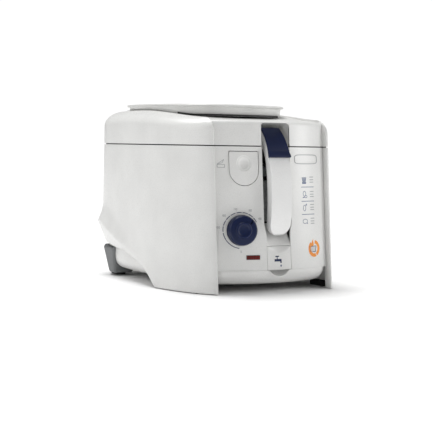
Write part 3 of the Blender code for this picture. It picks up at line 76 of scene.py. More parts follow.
def moulded(name, light, dark, roughness, grain_mm, relief_mm, stretch=(1, 1, 1), metallic=0.0, ior=1.5):
    """A moulded or rolled surface: faint tone changes and the fine grain of its tool."""
    made, tree, shader, coord = new_material(name)
    place = add(tree, "ShaderNodeMapping", [("Vector", coord, "Object")], inputs=[("Scale", stretch)])
    cloud = add(tree, "ShaderNodeTexNoise", [("Vector", coord, "Object")],
                inputs=[("Scale", 1 / (45 * MM)), ("Detail", 2.0)])
    grain = add(tree, "ShaderNodeTexNoise", [("Vector", place, "Vector")],
                inputs=[("Scale", 1 / (grain_mm * MM)), ("Detail", 3.0)])
    both = add(tree, "ShaderNodeMath", [(0, cloud, "Fac"), (1, grain, "Fac")],
               [("operation", "MULTIPLY_ADD")], [(2, 0.0)])
    tone = add(tree, "ShaderNodeMapRange", [("Value", both, "Value")],
               inputs=[("From Min", 0.15), ("From Max", 0.4)])
    colour = add(tree, "ShaderNodeMix", [("Factor", tone, "Result")], [("data_type", "RGBA")])
    colour.inputs[6].default_value = linear(dark)
    colour.inputs[7].default_value = linear(light)
    rough = add(tree, "ShaderNodeMapRange", [("Value", grain, "Fac")],
                inputs=[("From Min", 0.3), ("From Max", 0.7),
                        ("To Min", roughness - 0.04), ("To Max", roughness + 0.04)])
    bump = add(tree, "ShaderNodeBump", [("Height", grain, "Fac")],
               inputs=[("Strength", 0.35), ("Distance", relief_mm * MM)])
    tree.links.new(colour.outputs[2], shader.inputs["Base Color"])
    tree.links.new(rough.outputs["Result"], shader.inputs["Roughness"])
    tree.links.new(bump.outputs["Normal"], shader.inputs["Normal"])
    shader.inputs["Metallic"].default_value = metallic
    if not metallic:
        shader.inputs["IOR"].default_value = ior
    return made


def speckled(name, ground, speck, roughness, size_mm, share):
    """A ground colour with small round specks, as in a filled plastic or a sprayed coating."""
    made, tree, shader, coord = new_material(name)
    cells = add(tree, "ShaderNodeTexVoronoi", [("Vector", coord, "Object")],
                inputs=[("Scale", 1 / (size_mm * MM))])
    dots = add(tree, "ShaderNodeMapRange", [("Value", cells, "Distance")],
               inputs=[("From Min", share), ("From Max", share + 0.1), ("To Min", 1.0), ("To Max", 0.0)])
    colour = add(tree, "ShaderNodeMix", [("Factor", dots, "Result")], [("data_type", "RGBA")])
    colour.inputs[6].default_value = linear(ground)
    colour.inputs[7].default_value = linear(speck)
    bump = add(tree, "ShaderNodeBump", [("Height", dots, "Result")],
               inputs=[("Strength", 0.2), ("Distance", 0.05 * MM)])
    tree.links.new(colour.outputs[2], shader.inputs["Base Color"])
    tree.links.new(bump.outputs["Normal"], shader.inputs["Normal"])
    shader.inputs["Roughness"].default_value = roughness
    return made


# white ABS, polished mould: satin gloss with soft highlights, grain drawn at 0.9 mm to show
abs_white = moulded("abs_white_satin", "#E9E9E7", "#E1E1DF", 0.30, 0.9, 0.010, ior=1.53)
# the same ABS pressed against a finer tool on the handle: glossier, and its lighter colour is painted light
abs_white_gloss_lit = moulded("abs_white_gloss_lit", "#F2F2F1", "#EBEBEA", 0.22, 1.4, 0.005, ior=1.53)
# navy ABS, satin: the blue shows in the highlight's edge
abs_navy = moulded("abs_navy_satin", "#081A46", "#061538", 0.34, 0.8, 0.010, ior=1.38)
# grey polypropylene, spark-eroded: soft, even and without mirror reflections; on the channel tab this grey is
# painted shade
grey_pp_and_tab_shade = moulded("pp_grey_eroded_and_tab_shade", "#77797A", "#6C6E6F", 0.52, 0.7, 0.05, ior=1.49)
# glass-filled nylon: black with a dull grain; also used as painted shade in the button well and the steam
# slit
nylon_black_and_gap_shade = moulded("nylon_black_and_gap_shade", "#1B1B1C", "#141415", 0.5, 0.6, 0.04, ior=1.53)
# silicone and rubber: matte black; also used as painted shade on the band behind the lid seam
rubber_and_seam_shade_black = moulded("rubber_and_seam_shade_black", "#1F1F1F", "#171717", 0.75, 0.8, 0.03, ior=1.52)
# stainless steel sheet and wire, brushed: streaks 0.5 mm wide along X
steel_brushed = moulded("stainless_brushed", "#C9C8C4", "#B5B4B0", 0.26, 0.5, 0.008, (0.06, 1, 1), 1.0)
# grey with dark specks of 1.2 mm behind the handle: painted shade on the channel, which is white moulding
# like the fascia
painted_channel_shade = speckled("channel_painted_shade_speckled", "#A5A8A7", "#5E6362", 0.5, 1.6, 0.22)
# non-stick coating sprayed on aluminium: charcoal with pale specks
nonstick = speckled("nonstick_charcoal", "#2B2B2D", "#77777A", 0.38, 2.4, 0.10)
# polycarbonate lens, dark red, glossy
lens_red = moulded("polycarbonate_red", "#6A1815", "#4E100E", 0.12, 1.5, 0.02, ior=1.58)
# carbon foam filter
foam_black = speckled("carbon_foam", "#202020", "#3A3A3A", 0.9, 2.0, 0.25)
# pad-printed inks: thin, matte, slightly uneven
ink_blue = moulded("ink_blue_grey", "#465C86", "#3C5078", 0.45, 0.5, 0.004)
ink_grey = moulded("ink_grey", "#A9ABAD", "#9C9EA0", 0.45, 0.5, 0.004)
ink_navy = moulded("ink_navy", "#1F2E58", "#18264D", 0.45, 0.5, 0.004)
ink_orange = moulded("ink_orange", "#F29A35", "#EA8A22", 0.45, 0.5, 0.004)

SLOT_FINISH = {"white_plastic": abs_white, "navy_plastic": abs_navy, "grey_plastic": grey_pp_and_tab_shade,
               "steel": steel_brushed, "bowl_coating": nonstick, "rubber": rubber_and_seam_shade_black,
               "black_plastic": nylon_black_and_gap_shade, "red_lens": lens_red, "filter_foam": foam_black}
for part in frame["record"]["subparts"]:
    mesh = frame["nodes"][part["node"]].data
    mesh.materials.clear()
    mesh.materials.append(SLOT_FINISH[part["material_slot"]])


# ------------------------------------------------------------ pieces
def piece(name, maker, finish, body, nodes=(), bevel=0.0, segments=3, angle=35, thick=0.0, smooth=0):
    """Turns a bmesh in design coordinates into a finished piece that rides on a body."""
    for vert in maker.verts:
        vert.co += SHIFT
    mesh = bpy.data.meshes.new(name)
    maker.to_mesh(mesh)
    maker.free()
    mesh.materials.append(finish)
    for face in mesh.polygons:
        face.use_smooth = True
    mesh.set_sharp_from_angle(angle=math.radians(38))
    item = bpy.data.objects.new(name, mesh)
    bpy.context.scene.collection.objects.link(item)
    if smooth:
        fine = item.modifiers.new("fine", "SUBSURF")
        fine.levels = fine.render_levels = smooth
        fine.boundary_smooth = "PRESERVE_CORNERS"
    if thick:
        wall = item.modifiers.new("wall", "SOLIDIFY")
        wall.thickness = thick
        wall.offset = -1.0
    if bevel:
        soft = item.modifiers.new("soft", "BEVEL")
        soft.width = bevel
        soft.segments = segments
        soft.angle_limit = math.radians(angle)
        soft.harden_normals = False
    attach(item, body)
    if nodes:
        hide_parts(*nodes)
    return item


def carve(item, maker, name, operation="DIFFERENCE"):
    """Boolean with a throwaway cutter in design coordinates, applied at once."""
    for vert in maker.verts:
        vert.co += SHIFT
    bmesh.ops.recalc_face_normals(maker, faces=maker.faces)
    mesh = bpy.data.meshes.new(name)
    maker.to_mesh(mesh)
    maker.free()
    cutter = bpy.data.objects.new(name, mesh)
    bpy.context.scene.collection.objects.link(cutter)
    step = item.modifiers.new(name, "BOOLEAN")
    step.operation = operation
    step.solver = "EXACT"
    step.object = cutter
    bpy.context.view_layer.update()
    shape = item.evaluated_get(bpy.context.evaluated_depsgraph_get())
    fresh = bpy.data.meshes.new_from_object(shape)
    item.modifiers.clear()
    item.data = fresh
    bpy.data.objects.remove(cutter, do_unlink=True)
    for face in fresh.polygons:
        face.use_smooth = True
    fresh.set_sharp_from_angle(angle=math.radians(38))
    return item


def soften(item, width, segments=3, angle=35):
    soft = item.modifiers.new("soft", "BEVEL")
    soft.width, soft.segments, soft.angle_limit = width, segments, math.radians(angle)
    return item


def sheet_of(columns, rows, place):
    """An open grid whose points come from place(column, row)."""
    maker = bmesh.new()
    bmesh.ops.create_grid(maker, x_segments=columns, y_segments=rows, size=1.0)
    for vert in maker.verts:
        column, row = round((vert.co.x + 1) / 2 * columns), round((vert.co.y + 1) / 2 * rows)
        vert.co = place(column, row)
    return maker


def closed_band(steps, place):
    """A solid strip of four corners carried along place(step, corner)."""
    maker = bmesh.new()
    rows = [[maker.verts.new(place(step, corner)) for corner in range(4)] for step in range(steps + 1)]
    for one, other in zip(rows, rows[1:]):
        for k in range(4):
            maker.faces.new((one[k], one[(k + 1) % 4], other[(k + 1) % 4], other[k]))
    maker.faces.new(rows[0])
    maker.faces.new(rows[-1][::-1])
    bmesh.ops.recalc_face_normals(maker, faces=maker.faces)
    return maker


def ring_of(columns, rows, place, capped=False):
    """An open band, or a cup when capped at row 0, whose points come from place(column, row)."""
    maker = bmesh.new()
    bmesh.ops.create_circle(maker, cap_ends=capped, cap_tris=False, segments=columns, radius=1.0)
    edges = [edge for edge in maker.edges]
    for row in range(1, rows + 1):
        grown = bmesh.ops.extrude_edge_only(maker, edges=edges)
        edges = [part for part in grown["geom"] if isinstance(part, bmesh.types.BMEdge)]
        edges = [edge for edge in edges if len(edge.link_faces) == 1]
        for vert in {vert for edge in edges for vert in edge.verts}:
            vert.co.z = row
    for vert in maker.verts:
        column = round(math.atan2(vert.co.y, vert.co.x) / (2 * math.pi) * columns) % columns
        vert.co = place(column, round(vert.co.z))
    return maker


def outward(maker, centre=(0, 0.02, 0.12)):
    """Faces of an open sheet turned away from the middle of the fryer."""
    bmesh.ops.recalc_face_normals(maker, faces=maker.faces)
    balance = sum((face.calc_center_median() - Vector(centre)).dot(face.normal) * face.calc_area()
                  for face in maker.faces)
    if balance < 0:
        bmesh.ops.reverse_faces(maker, faces=maker.faces)
    return maker


def prism(shape, low, high, axis="Y"):
    """Extrudes a flat outline along an axis."""
    maker = bmesh.new()
    orders = {"X": lambda a, b, c: (c, a, b), "Y": lambda a, b, c: (a, c, b), "Z": lambda a, b, c: (a, b, c)}
    order = orders[axis]
    face = maker.faces.new([maker.verts.new(order(a, b, low)) for a, b in shape])
    grown = bmesh.ops.extrude_face_region(maker, geom=[face], use_keep_orig=True)
    step = Vector(order(0, 0, high - low))
    moved = [vert for vert in grown["geom"] if isinstance(vert, bmesh.types.BMVert)]
    bmesh.ops.translate(maker, vec=step, verts=moved)
    bmesh.ops.recalc_face_normals(maker, faces=maker.faces)
    return maker


def turned(profile, steps=64):
    """Spins a profile of (radius, height) about Z into a closed body."""
    maker = bmesh.new()
    verts = [maker.verts.new((r, 0, z)) for r, z in profile]
    edges = [maker.edges.new(pair) for pair in zip(verts, verts[1:])]
    bmesh.ops.spin(maker, geom=verts + edges, axis=(0, 0, 1), cent=(0, 0, 0), steps=steps,
                   angle=2 * math.pi, use_merge=True)
    bmesh.ops.remove_doubles(maker, verts=maker.verts, dist=1e-6)
    bmesh.ops.recalc_face_normals(maker, faces=maker.faces)
    return maker


def along(maker, axis, point=(0, 0, 0)):
    turn = Vector((0, 0, 1)).rotation_difference(Vector(axis)).to_matrix().to_4x4()
    bmesh.ops.transform(maker, matrix=Matrix.Translation(point) @ turn, verts=maker.verts)
    return maker


# ------------------------------------------------------------ sizes, metres
BODY_HALF_WIDTH, BODY_REAR_Y = 0.1395, 0.200
LID_LINE_Z, LID_TOP_Z, COVER_TOP_Z = 0.209, 0.2625, 0.2705
PANEL_TOP_Z = LID_LINE_Z - 0.0008
FLOOR_FLARE, FRONT_LEAN = 0.003, 0.0913
FRONT_POWER, REAR_POWER = 2.6, 3.6
CREASE_X, CREASE_Y, LIP_X = 0.098, -0.176, 0.0945
FASCIA_Y, FASCIA_BOW, FASCIA_BOTTOM_Z = -0.188, 2.2, 0.033
REAR_SEAM_X, BASE_BOTTOM_Z, BASE_INSET = 0.060, 0.010, 0.0105
WALL, SEAM = 0.0025, 0.0003
CHANNEL_HALF, CHANNEL_DEPTH, NOTCH_TOP_Z = 0.0235, 0.028, 0.2427
BUTTON_X, BUTTON_Z, BUTTON_WIDTH, BUTTON_HEIGHT = -0.0512, 0.1772, 0.042, 0.0476
KNOB_X, KNOB_Z, KNOB_RADIUS, KNOB_HEIGHT = -0.058, 0.090, 0.022, 0.015
LAMP_X, LAMP_Z = -0.0415, 0.0517
DOOR_HALF, DOOR_TOP_Z = 0.0205, 0.067
FRONT_COLUMNS, LIP_COLUMNS, SIDE_COLUMNS = 16, 6, 48
LEDGE_RADIUS, LEDGE_TOP_Z = 0.007, 0.2455
COVER_Y, COVER_HALF_X, COVER_HALF_Y, COVER_POWER = 0.045, 0.105, 0.130, 3.0


# ------------------------------------------------------------ body surfaces
def smooth_step(value):
    value = min(1.0, max(0.0, value))
    return value * value * (3 - 2 * value)


def crease_y(z):
    return CREASE_Y + FRONT_LEAN * z


def fascia_y(x, z):
    return FASCIA_Y + FRONT_LEAN * z + FASCIA_BOW * x * x


@functools.lru_cache(maxsize=None)
def outline_table(z):
    """Half of the body's plan outline, evenly spaced from the front crease to the rear centre."""
    half = BODY_HALF_WIDTH + FLOOR_FLARE * (LID_LINE_Z - z) / LID_LINE_Z
    share = 1 - (CREASE_X / half) ** FRONT_POWER
    front = -crease_y(z) / share ** (1 / FRONT_POWER)
    start = -math.acos((CREASE_X / half) ** (FRONT_POWER / 2))
    angles = np.linspace(start, math.pi / 2, 1500)
    power = np.where(angles < 0, FRONT_POWER, REAR_POWER)
    depth = np.where(angles < 0, front, BODY_REAR_Y)
    xs = half * np.abs(np.cos(angles)) ** (2 / power)
    ys = depth * np.sign(angles) * np.abs(np.sin(angles)) ** (2 / power)
    run = np.concatenate([[0], np.cumsum(np.hypot(np.diff(xs), np.diff(ys)))])
    return run / run[-1], xs, ys


def outline(z, t, inset=0.0):
    """A point of the side outline moved inwards, t = 0 at the crease and 1 at the rear centre."""
    run, xs, ys = outline_table(round(z, 6))
    x, y = np.interp(t, run, xs), np.interp(t, run, ys)
    low, high = max(0.0, t - 0.01), min(1.0, t + 0.01)
    tangent = Vector((np.interp(high, run, xs) - np.interp(low, run, xs),
                      np.interp(high, run, ys) - np.interp(low, run, ys))).normalized()
    return Vector((float(x), float(y))) - Vector((tangent.y, -tangent.x)) * inset


def seam_t():
    run, xs, ys = outline_table(LID_LINE_Z)
    rear = ys > 0
    return float(np.interp(-REAR_SEAM_X, -xs[rear], run[rear]))


LOWER_EDGE = [(-0.063, 0.0015), (-0.054, 0.011), (-0.043, 0.020), (-0.032, 0.028), (-0.017, 0.0325),
              (0.050, 0.044), (0.140, 0.056), (0.205, 0.060)]
HIP_SWELL, HIP_TUCK, HIP_FADE = 0.008, 0.012, 0.032


def lower_edge_z(y):
    return float(np.interp(y, [p[0] for p in LOWER_EDGE], [p[1] for p in LOWER_EDGE]))


def hip(y, z):
    """Outward swell of the side panel above its lower edge, strongest at the rear."""
    crease = min(0.040 + 0.41 * max(y, -0.02), 0.086)
    swell = HIP_SWELL * smooth_step((y + 0.01) / 0.13)
    if z >= crease:
        return swell * max(0.0, 1 - (z - crease) / HIP_FADE) ** 2
    tuck = HIP_TUCK * smooth_step((y + 0.03) / 0.10)
    return swell - tuck * (crease - z) / max(crease - lower_edge_z(y), 1e-4)


PANEL_COLUMNS, PANEL_ROWS = 60, 34


def cheek(z, share):
    """The rounded front edge of a side panel in plan, from the fascia's face to the crease."""
    low = Vector((LIP_X, fascia_y(LIP_X, z) + 0.004))
    front = crease_y(z)
    if share < 0.25:
        return low.lerp(Vector((LIP_X, front + 0.0028)), share / 0.25)
    turn = (share - 0.25) / 0.75 * math.pi / 2
    radius = Vector((0.0030, 0.0034))
    return Vector((LIP_X + radius.x * (1 - math.cos(turn)), front + 0.0028 - radius.y * math.sin(turn)))


def panel_place(sign):
    def place(column, row):
        side = max(0, column - LIP_COLUMNS)
        t = (seam_t() - 0.0006) * side / PANEL_COLUMNS
        column_y = outline(0.030, t).y
        low = lower_edge_z(column_y)
        z = low + (PANEL_TOP_Z - low) * (row / PANEL_ROWS) ** 1.15
        if column < LIP_COLUMNS:
            x, y = cheek(z, column / LIP_COLUMNS)
        else:
            x, y = outline(z, t, -hip(column_y, z))
        return Vector((sign * x, y, z))
    return place


for side, sign in (("left", -1), ("right", 1)):
    maker = outward(sheet_of(LIP_COLUMNS + PANEL_COLUMNS, PANEL_ROWS, panel_place(sign)))
    piece(f"{side}_panel", maker, abs_white, "base", [f"side_panel_{side}"],
          thick=WALL, bevel=0.0005, segments=2)


# ------------------------------------------------------------ fascia
def fascia_sheet(half, low, high, columns=72, rows=40, depth=None):
    def place(column, row):
        x = half * (2 * column / columns - 1)
        z = low + (high - low) * row / rows
        return Vector((x, fascia_y(x, z) + (depth(x, z) if depth else 0.0), z))
    return outward(sheet_of(columns, rows, place))


def solid_sheet(maker, thickness=WALL):
    bmesh.ops.solidify(maker, geom=maker.faces[:], thickness=thickness)
    bmesh.ops.recalc_face_normals(maker, faces=maker.faces)
    return maker


def d_outline(grow=0.0, arc_steps=28, corner=0.0016):
    """Flat top with small corners and a round bottom, about the button's middle."""
    half, top = BUTTON_WIDTH / 2 + grow, BUTTON_HEIGHT / 2 + grow
    centre = -BUTTON_HEIGHT / 2 + BUTTON_WIDTH / 2
    points = [(half * math.cos(a), centre + half * math.sin(a)) for a in np.linspace(-math.pi, 0, arc_steps)]
    for sign in (1, -1):
        ends = np.linspace(0, math.pi / 2, 4) if sign > 0 else np.linspace(math.pi / 2, 0, 4)
        points += [(sign * (half - corner + corner * math.cos(a)), top - corner + corner * math.sin(a))
                   for a in ends]
    return points


def at_button(points):
    return [(BUTTON_X + x, BUTTON_Z + z) for x, z in points]


def lie_on_fascia(maker, lift=0.0):
    for vert in maker.verts:
        vert.co.y += fascia_y(vert.co.x, vert.co.z) - lift
    return maker


def fascia_normal(x):
    return Vector((2 * FASCIA_BOW * x, -1.0, FRONT_LEAN)).normalized()


def lamp_shape(grow=0.0):
    """Outline of the lamp in the fascia."""
    half_x, half_z = 0.0100 + grow, 0.0030 + grow
    return [(LAMP_X + sx * half_x, LAMP_Z + sz * half_z) for sx, sz in ((-1, -1), (1, -1), (1, 1), (-1, 1))]


BUTTON_GAP = 0.0009
fascia = piece("fascia", solid_sheet(fascia_sheet(LIP_X - SEAM, FASCIA_BOTTOM_Z + SEAM, PANEL_TOP_Z)),
               abs_white, "base", ["front_fascia_left", "front_fascia_right"])
mouth = [(-DOOR_HALF, 0.0), (DOOR_HALF, 0.0), (DOOR_HALF, 0.085), (CHANNEL_HALF, 0.100), (CHANNEL_HALF, 0.23),
         (-CHANNEL_HALF, 0.23), (-CHANNEL_HALF, 0.100), (-DOOR_HALF, 0.085)]
carve(fascia, prism(mouth, -0.21, -0.13), "mouth_cutter")
carve(fascia, prism(at_button(d_outline(BUTTON_GAP)), -0.21, -0.13), "button_cutter")
carve(fascia, prism(lamp_shape(0.0003), -0.21, -0.14), "lamp_cutter")
carve(fascia, along(turned([(0, -0.03), (0.0042, -0.03), (0.0042, 0.03), (0, 0.03)]), (0, -1, 0),
                    (KNOB_X, fascia_y(KNOB_X, KNOB_Z), KNOB_Z)), "shaft_cutter")
soften(fascia, 0.0006, 2, 50)


# ------------------------------------------------------------ release button
button = piece("release_button", lie_on_fascia(prism(at_button(d_outline()), -0.0008, 0.0056)), abs_white,
               "release_button", ["lid_release_button"])
dish_z = BUTTON_Z + 0.0074
thumb_profile = [(0, 0.0030), (0.0050, 0.0026), (0.0078, 0.0015), (0.0084, 0.0009), (0.0106, 0.0008),
                 (0.0116, -0.0008), (0.0116, -0.0060), (0, -0.0060)]
dish_seat = (BUTTON_X, fascia_y(BUTTON_X, dish_z), dish_z)
dish = along(turned(thumb_profile, 96), -fascia_normal(BUTTON_X), dish_seat)
carve(button, dish, "thumb_cutter")
soften(button, 0.0005, 3, 30)
# painted shade: a black plate behind the button's gap stands in for the shade inside the well
well = lie_on_fascia(prism(at_button(d_outline(0.0012)), 0.0104, 0.0112))
piece("button_well_painted_shade", well, nylon_black_and_gap_shade, "base")
rim = lie_on_fascia(prism(at_button(d_outline(0.0022)), -0.0004, 0.0010))
rim_piece = piece("button_rim", rim, abs_white, "base")
carve(rim_piece, prism(at_button(d_outline(BUTTON_GAP)), -0.21, -0.13), "rim_cutter")
soften(rim_piece, 0.00035, 2, 50)


# ------------------------------------------------------------ painted shade: a black band behind the lid seam makes the gap read dark
SEAM_SHADE_BAND = [(0.0030, -0.0045), (0.0030, 0.0040), (0.0045, 0.0040), (0.0045, -0.0045)]


def seam_shade_band(name, steps, place):
    band = closed_band(steps, lambda step, corner: place(step / steps, corner))
    # painted shade: the black band stands in for the shade in the lid seam
    piece(name, band, rubber_and_seam_shade_black, "base")


def side_seam_shade(sign):
    def place(share, row):
        t = 0.01 + 0.99 * share
        inset, rise = SEAM_SHADE_BAND[row]
        point = outline(LID_LINE_Z - 0.001, t, inset)
        return Vector((sign * point.x, point.y, LID_LINE_Z + rise))
    return place


def front_seam_shade(sign):
    def place(share, row):
        x = sign * (CHANNEL_HALF + 0.0005 + (LIP_X - 0.002 - CHANNEL_HALF) * share)
        inset, rise = SEAM_SHADE_BAND[row]
        return Vector((x, fascia_y(x, LID_LINE_Z) + inset, LID_LINE_Z + rise))
    return place


for side, sign in (("left", 1.0), ("right", -1.0)):
    seam_shade_band(f"seam_shade_side_{side}", 80, side_seam_shade(sign))
    seam_shade_band(f"seam_shade_front_{side}", 24, front_seam_shade(-sign))


# ------------------------------------------------------------ scoop and drain door
SCOOP_FOOT_Z, SCOOP_TOP_Z, SCOOP_DEPTH = 0.057, 0.098, 0.026


def scoop_depth(x, z):
    foot = SCOOP_FOOT_Z + (DOOR_TOP_Z - SCOOP_FOOT_Z) * (x / DOOR_HALF) ** 2
    return SCOOP_DEPTH * max(0.0, (z - foot) / (SCOOP_TOP_Z - SCOOP_FOOT_Z)) ** 1.25


scoop = fascia_sheet(DOOR_HALF - 0.0005, DOOR_TOP_Z + 0.0006, SCOOP_TOP_Z, 32, 30, scoop_depth)
piece("scoop", scoop, abs_white, "base", ["finger_scoop"], thick=0.002)
door = fascia_sheet(DOOR_HALF - 0.0005, FASCIA_BOTTOM_Z + 0.0006, DOOR_TOP_Z, 32, 34, scoop_depth)
piece("door", door, abs_white, "drain_door", ["drain_door"], thick=0.002, bevel=0.0004,
      segments=2, angle=50)


# ------------------------------------------------------------ belly
HALF_COLUMNS = FRONT_COLUMNS + SIDE_COLUMNS
BASE_FRONT_X = 0.090
BASE_RINGS = [(0.060, 0.0), (0.026, 0.0004), (0.013, 0.0035), (0.005, 0.010), (0.001, 0.018)]


def mirrored(column, half_columns):
    return (1.0, column) if column <= half_columns else (-1.0, 2 * half_columns - column)


def base_place(column, row):
    """Rounded belly: rings of growing height and shrinking inset, then the hidden upper wall."""
    sign, index = mirrored(column, HALF_COLUMNS)
    extra, rise = BASE_RINGS[min(row, len(BASE_RINGS) - 1)]
    z = BASE_BOTTOM_Z + rise
    t = 0.06 + 0.94 * (index - FRONT_COLUMNS) / SIDE_COLUMNS
    top = FASCIA_BOTTOM_Z
    if index > FRONT_COLUMNS:
        top = max(top, lower_edge_z(outline(0.030, t).y) + 0.012)
    if row >= len(BASE_RINGS):
        z += (top - z) * (row - len(BASE_RINGS) + 1) / 2
    if index <= FRONT_COLUMNS:
        x = BASE_FRONT_X * index / FRONT_COLUMNS
        return Vector((sign * x * (1 - extra * 3.0), fascia_y(x, FASCIA_BOTTOM_Z) + extra, z))
    point = outline(0.030, t, BASE_INSET + extra)
    return Vector((sign * point.x, point.y, z))


tub = outward(ring_of(2 * HALF_COLUMNS, len(BASE_RINGS) + 1, base_place, True))
belly = piece("belly", tub, abs_white, "base", ["base_shell"], smooth=1, thick=WALL)
carve(belly, along(turned([(0, -0.008), (0.0205, -0.008), (0.0205, 0.03), (0, 0.03)]), (0, -1, 0),
                   (0, fascia_y(0, FASCIA_BOTTOM_Z), FASCIA_BOTTOM_Z + 0.0115)), "finger_cutter")
soften(belly, 0.0006, 2, 50)
dish_profile = [(0, -0.0125), (0.010, -0.0115), (0.017, -0.0075), (0.0203, -0.0008), (0.0215, -0.0008),
                (0.0215, -0.010), (0.010, -0.0145), (0, -0.0145)]
dish = piece("finger_dish", along(turned(dish_profile), (0, -1, 0), (0, fascia_y(0, FASCIA_BOTTOM_Z),
             FASCIA_BOTTOM_Z + 0.0115)), abs_white, "base")
above_tub = [(-0.03, FASCIA_BOTTOM_Z), (0.03, FASCIA_BOTTOM_Z), (0.03, 0.10), (-0.03, 0.10)]
carve(dish, prism(above_tub, -0.25, 0.25), "dish_cutter")


# ------------------------------------------------------------ lid
def trough_z(y):
    """Height of the lid's top between its shoulders, rising from the front ledge."""
    return LEDGE_TOP_Z + (LID_TOP_Z - LEDGE_TOP_Z) * smooth_step((y + 0.150) / 0.21)


def cover_edge(angle, inset=0.0):
    """Plan outline of the filter cover, angle 0 at the front centre, growing to +X and the rear."""
    power = 2 / COVER_POWER
    s, c = math.sin(angle), -math.cos(angle)
    return Vector(((COVER_HALF_X - inset) * math.copysign(abs(s) ** power, s),
                   COVER_Y + (COVER_HALF_Y - inset) * math.copysign(abs(c) ** power, c)))


def lid_shoulder(t):
    """Inner end of the shoulder's rounding: crease point and the wall height where it starts."""
    edge = outline(LID_LINE_Z, t)
    front = smooth_step(t / 0.35)
    crease_x = LIP_X + 0.0015 + 0.0065 * front
    rear = smooth_step((t - 0.55) / 0.30)
    along_y = -0.130 + 0.215 * min(1.0, t / 0.55)
    x = crease_x + (min(crease_x, edge.x * 0.86) - crease_x) * rear
    y = along_y + (min(0.176, edge.y * 0.88) - along_y) * rear
    z = 0.249 + (LID_TOP_Z - 0.0015 - 0.249) * smooth_step((t + 0.05) / 0.5)
    return Vector((min(x, edge.x * 0.97), y, z)), 0.228 + 0.010 * front


def lid_angle(index):
    if index <= FRONT_COLUMNS:
        return 0.62 * index / FRONT_COLUMNS
    start = 0.62 + 0.09 * min(index - FRONT_COLUMNS, LIP_COLUMNS) / LIP_COLUMNS
    return start + (math.pi - start) * max(0, index - FRONT_COLUMNS - LIP_COLUMNS) / SIDE_COLUMNS


LID_HALF = FRONT_COLUMNS + LIP_COLUMNS + SIDE_COLUMNS
WALL_ROWS, TURN_ROWS, TOP_ROWS = 4, 10, 6
LID_ROWS = WALL_ROWS + TURN_ROWS + TOP_ROWS
LID_BOTTOM_Z = LID_LINE_Z + 0.0008


def lid_edge(index, z):
    """Plan position of the lid's wall: front face, rounded cheek edge, then the side outline."""
    lift = FRONT_LEAN * max(0.0, z - LID_LINE_Z)
    if index <= FRONT_COLUMNS:
        x = LIP_X * index / FRONT_COLUMNS
        return Vector((x, fascia_y(x, z)))
    if index < FRONT_COLUMNS + LIP_COLUMNS:
        share = 0.2 + 0.8 * (index - FRONT_COLUMNS) / LIP_COLUMNS
        return Vector(cheek(z, share))
    t = (index - FRONT_COLUMNS - LIP_COLUMNS) / SIDE_COLUMNS
    edge = outline(min(z, LID_LINE_Z), t)
    edge.y += lift * (1 - smooth_step(t / 0.4))
    return edge


def lid_place(column, row):
    sign, index = mirrored(column, LID_HALF)
    t = max(0, index - FRONT_COLUMNS - LIP_COLUMNS) / SIDE_COLUMNS
    hole = cover_edge(lid_angle(index), 0.010)
    hole = Vector((hole.x, hole.y, trough_z(hole.y)))
    crease, wall_z = lid_shoulder(t)
    front = index <= FRONT_COLUMNS
    if front:
        wall_z = LEDGE_TOP_Z - LEDGE_RADIUS
    if row <= WALL_ROWS:
        z = LID_BOTTOM_Z + (wall_z - LID_BOTTOM_Z) * row / WALL_ROWS
        edge = lid_edge(index, z)
        return Vector((sign * edge.x, edge.y, z))
    edge = lid_edge(index, wall_z)
    turn = min(1.0, (row - WALL_ROWS) / TURN_ROWS) * math.pi / 2
    lean, lift = 1 - math.cos(turn), math.sin(turn)
    if front:
        rim = Vector((edge.x, edge.y + LEDGE_RADIUS * lean, wall_z + LEDGE_RADIUS * lift))
        blend = (edge.x / LIP_X) ** 4
        start_y = (edge.y + 0.014) * (1 - blend) + crease.y * blend
        start = Vector((edge.x, start_y, trough_z(start_y)))
    else:
        lip = min(1.0, (index - FRONT_COLUMNS) / LIP_COLUMNS)
        top_x = LIP_X + (crease.x - LIP_X) * lip + (edge.x - LIP_X) * 0.3 * (1 - lip)
        top = Vector((top_x, crease.y, crease.z))
        rim = Vector((edge.x + (top.x - edge.x) * lean, edge.y + (top.y - edge.y) * lean,
                      wall_z + (top.z - wall_z) * lift))
        start = Vector((top.x - 0.0006, crease.y, min(crease.z - 0.0006, trough_z(crease.y))))
    if row <= WALL_ROWS + TURN_ROWS:
        return Vector((sign * rim.x, rim.y, rim.z))
    share = (row - WALL_ROWS - TURN_ROWS - 1) / (TOP_ROWS - 1)
    point = start.lerp(hole, share)
    return Vector((sign * point.x, point.y, trough_z(point.y) if share > 0 else start.z))


def notch_shape(top, half, corner=0.006):
    arc = [(half - corner + corner * math.sin(a), top - corner + corner * math.cos(a))
           for a in np.linspace(0, math.pi / 2, 8)]
    return [(-x, z) for x, z in reversed(arc)] + arc + [(half, 0.19), (-half, 0.19)]


lid = piece("lid", outward(ring_of(2 * LID_HALF, LID_ROWS, lid_place)), abs_white, "lid",
            ["lid_shell"], thick=WALL)
carve(lid, prism(notch_shape(NOTCH_TOP_Z, CHANNEL_HALF + 0.0005), -0.21, -0.115), "notch_cutter")
soften(lid, 0.0009, 3, 50)

# white pocket behind the handle's crown, struck round the handle's pivot
POCKET_RADIUS = 0.0262
pocket_side = [(-0.1635, NOTCH_TOP_Z + 0.0006), (-0.157, 0.2422)]
pocket_side += [(-0.150 + POCKET_RADIUS * math.cos(a), 0.215 + POCKET_RADIUS * math.sin(a))
                for a in np.linspace(math.radians(88), 0, 14)] + [(-0.1238, LID_BOTTOM_Z)]
pocket_half = CHANNEL_HALF + 0.0005


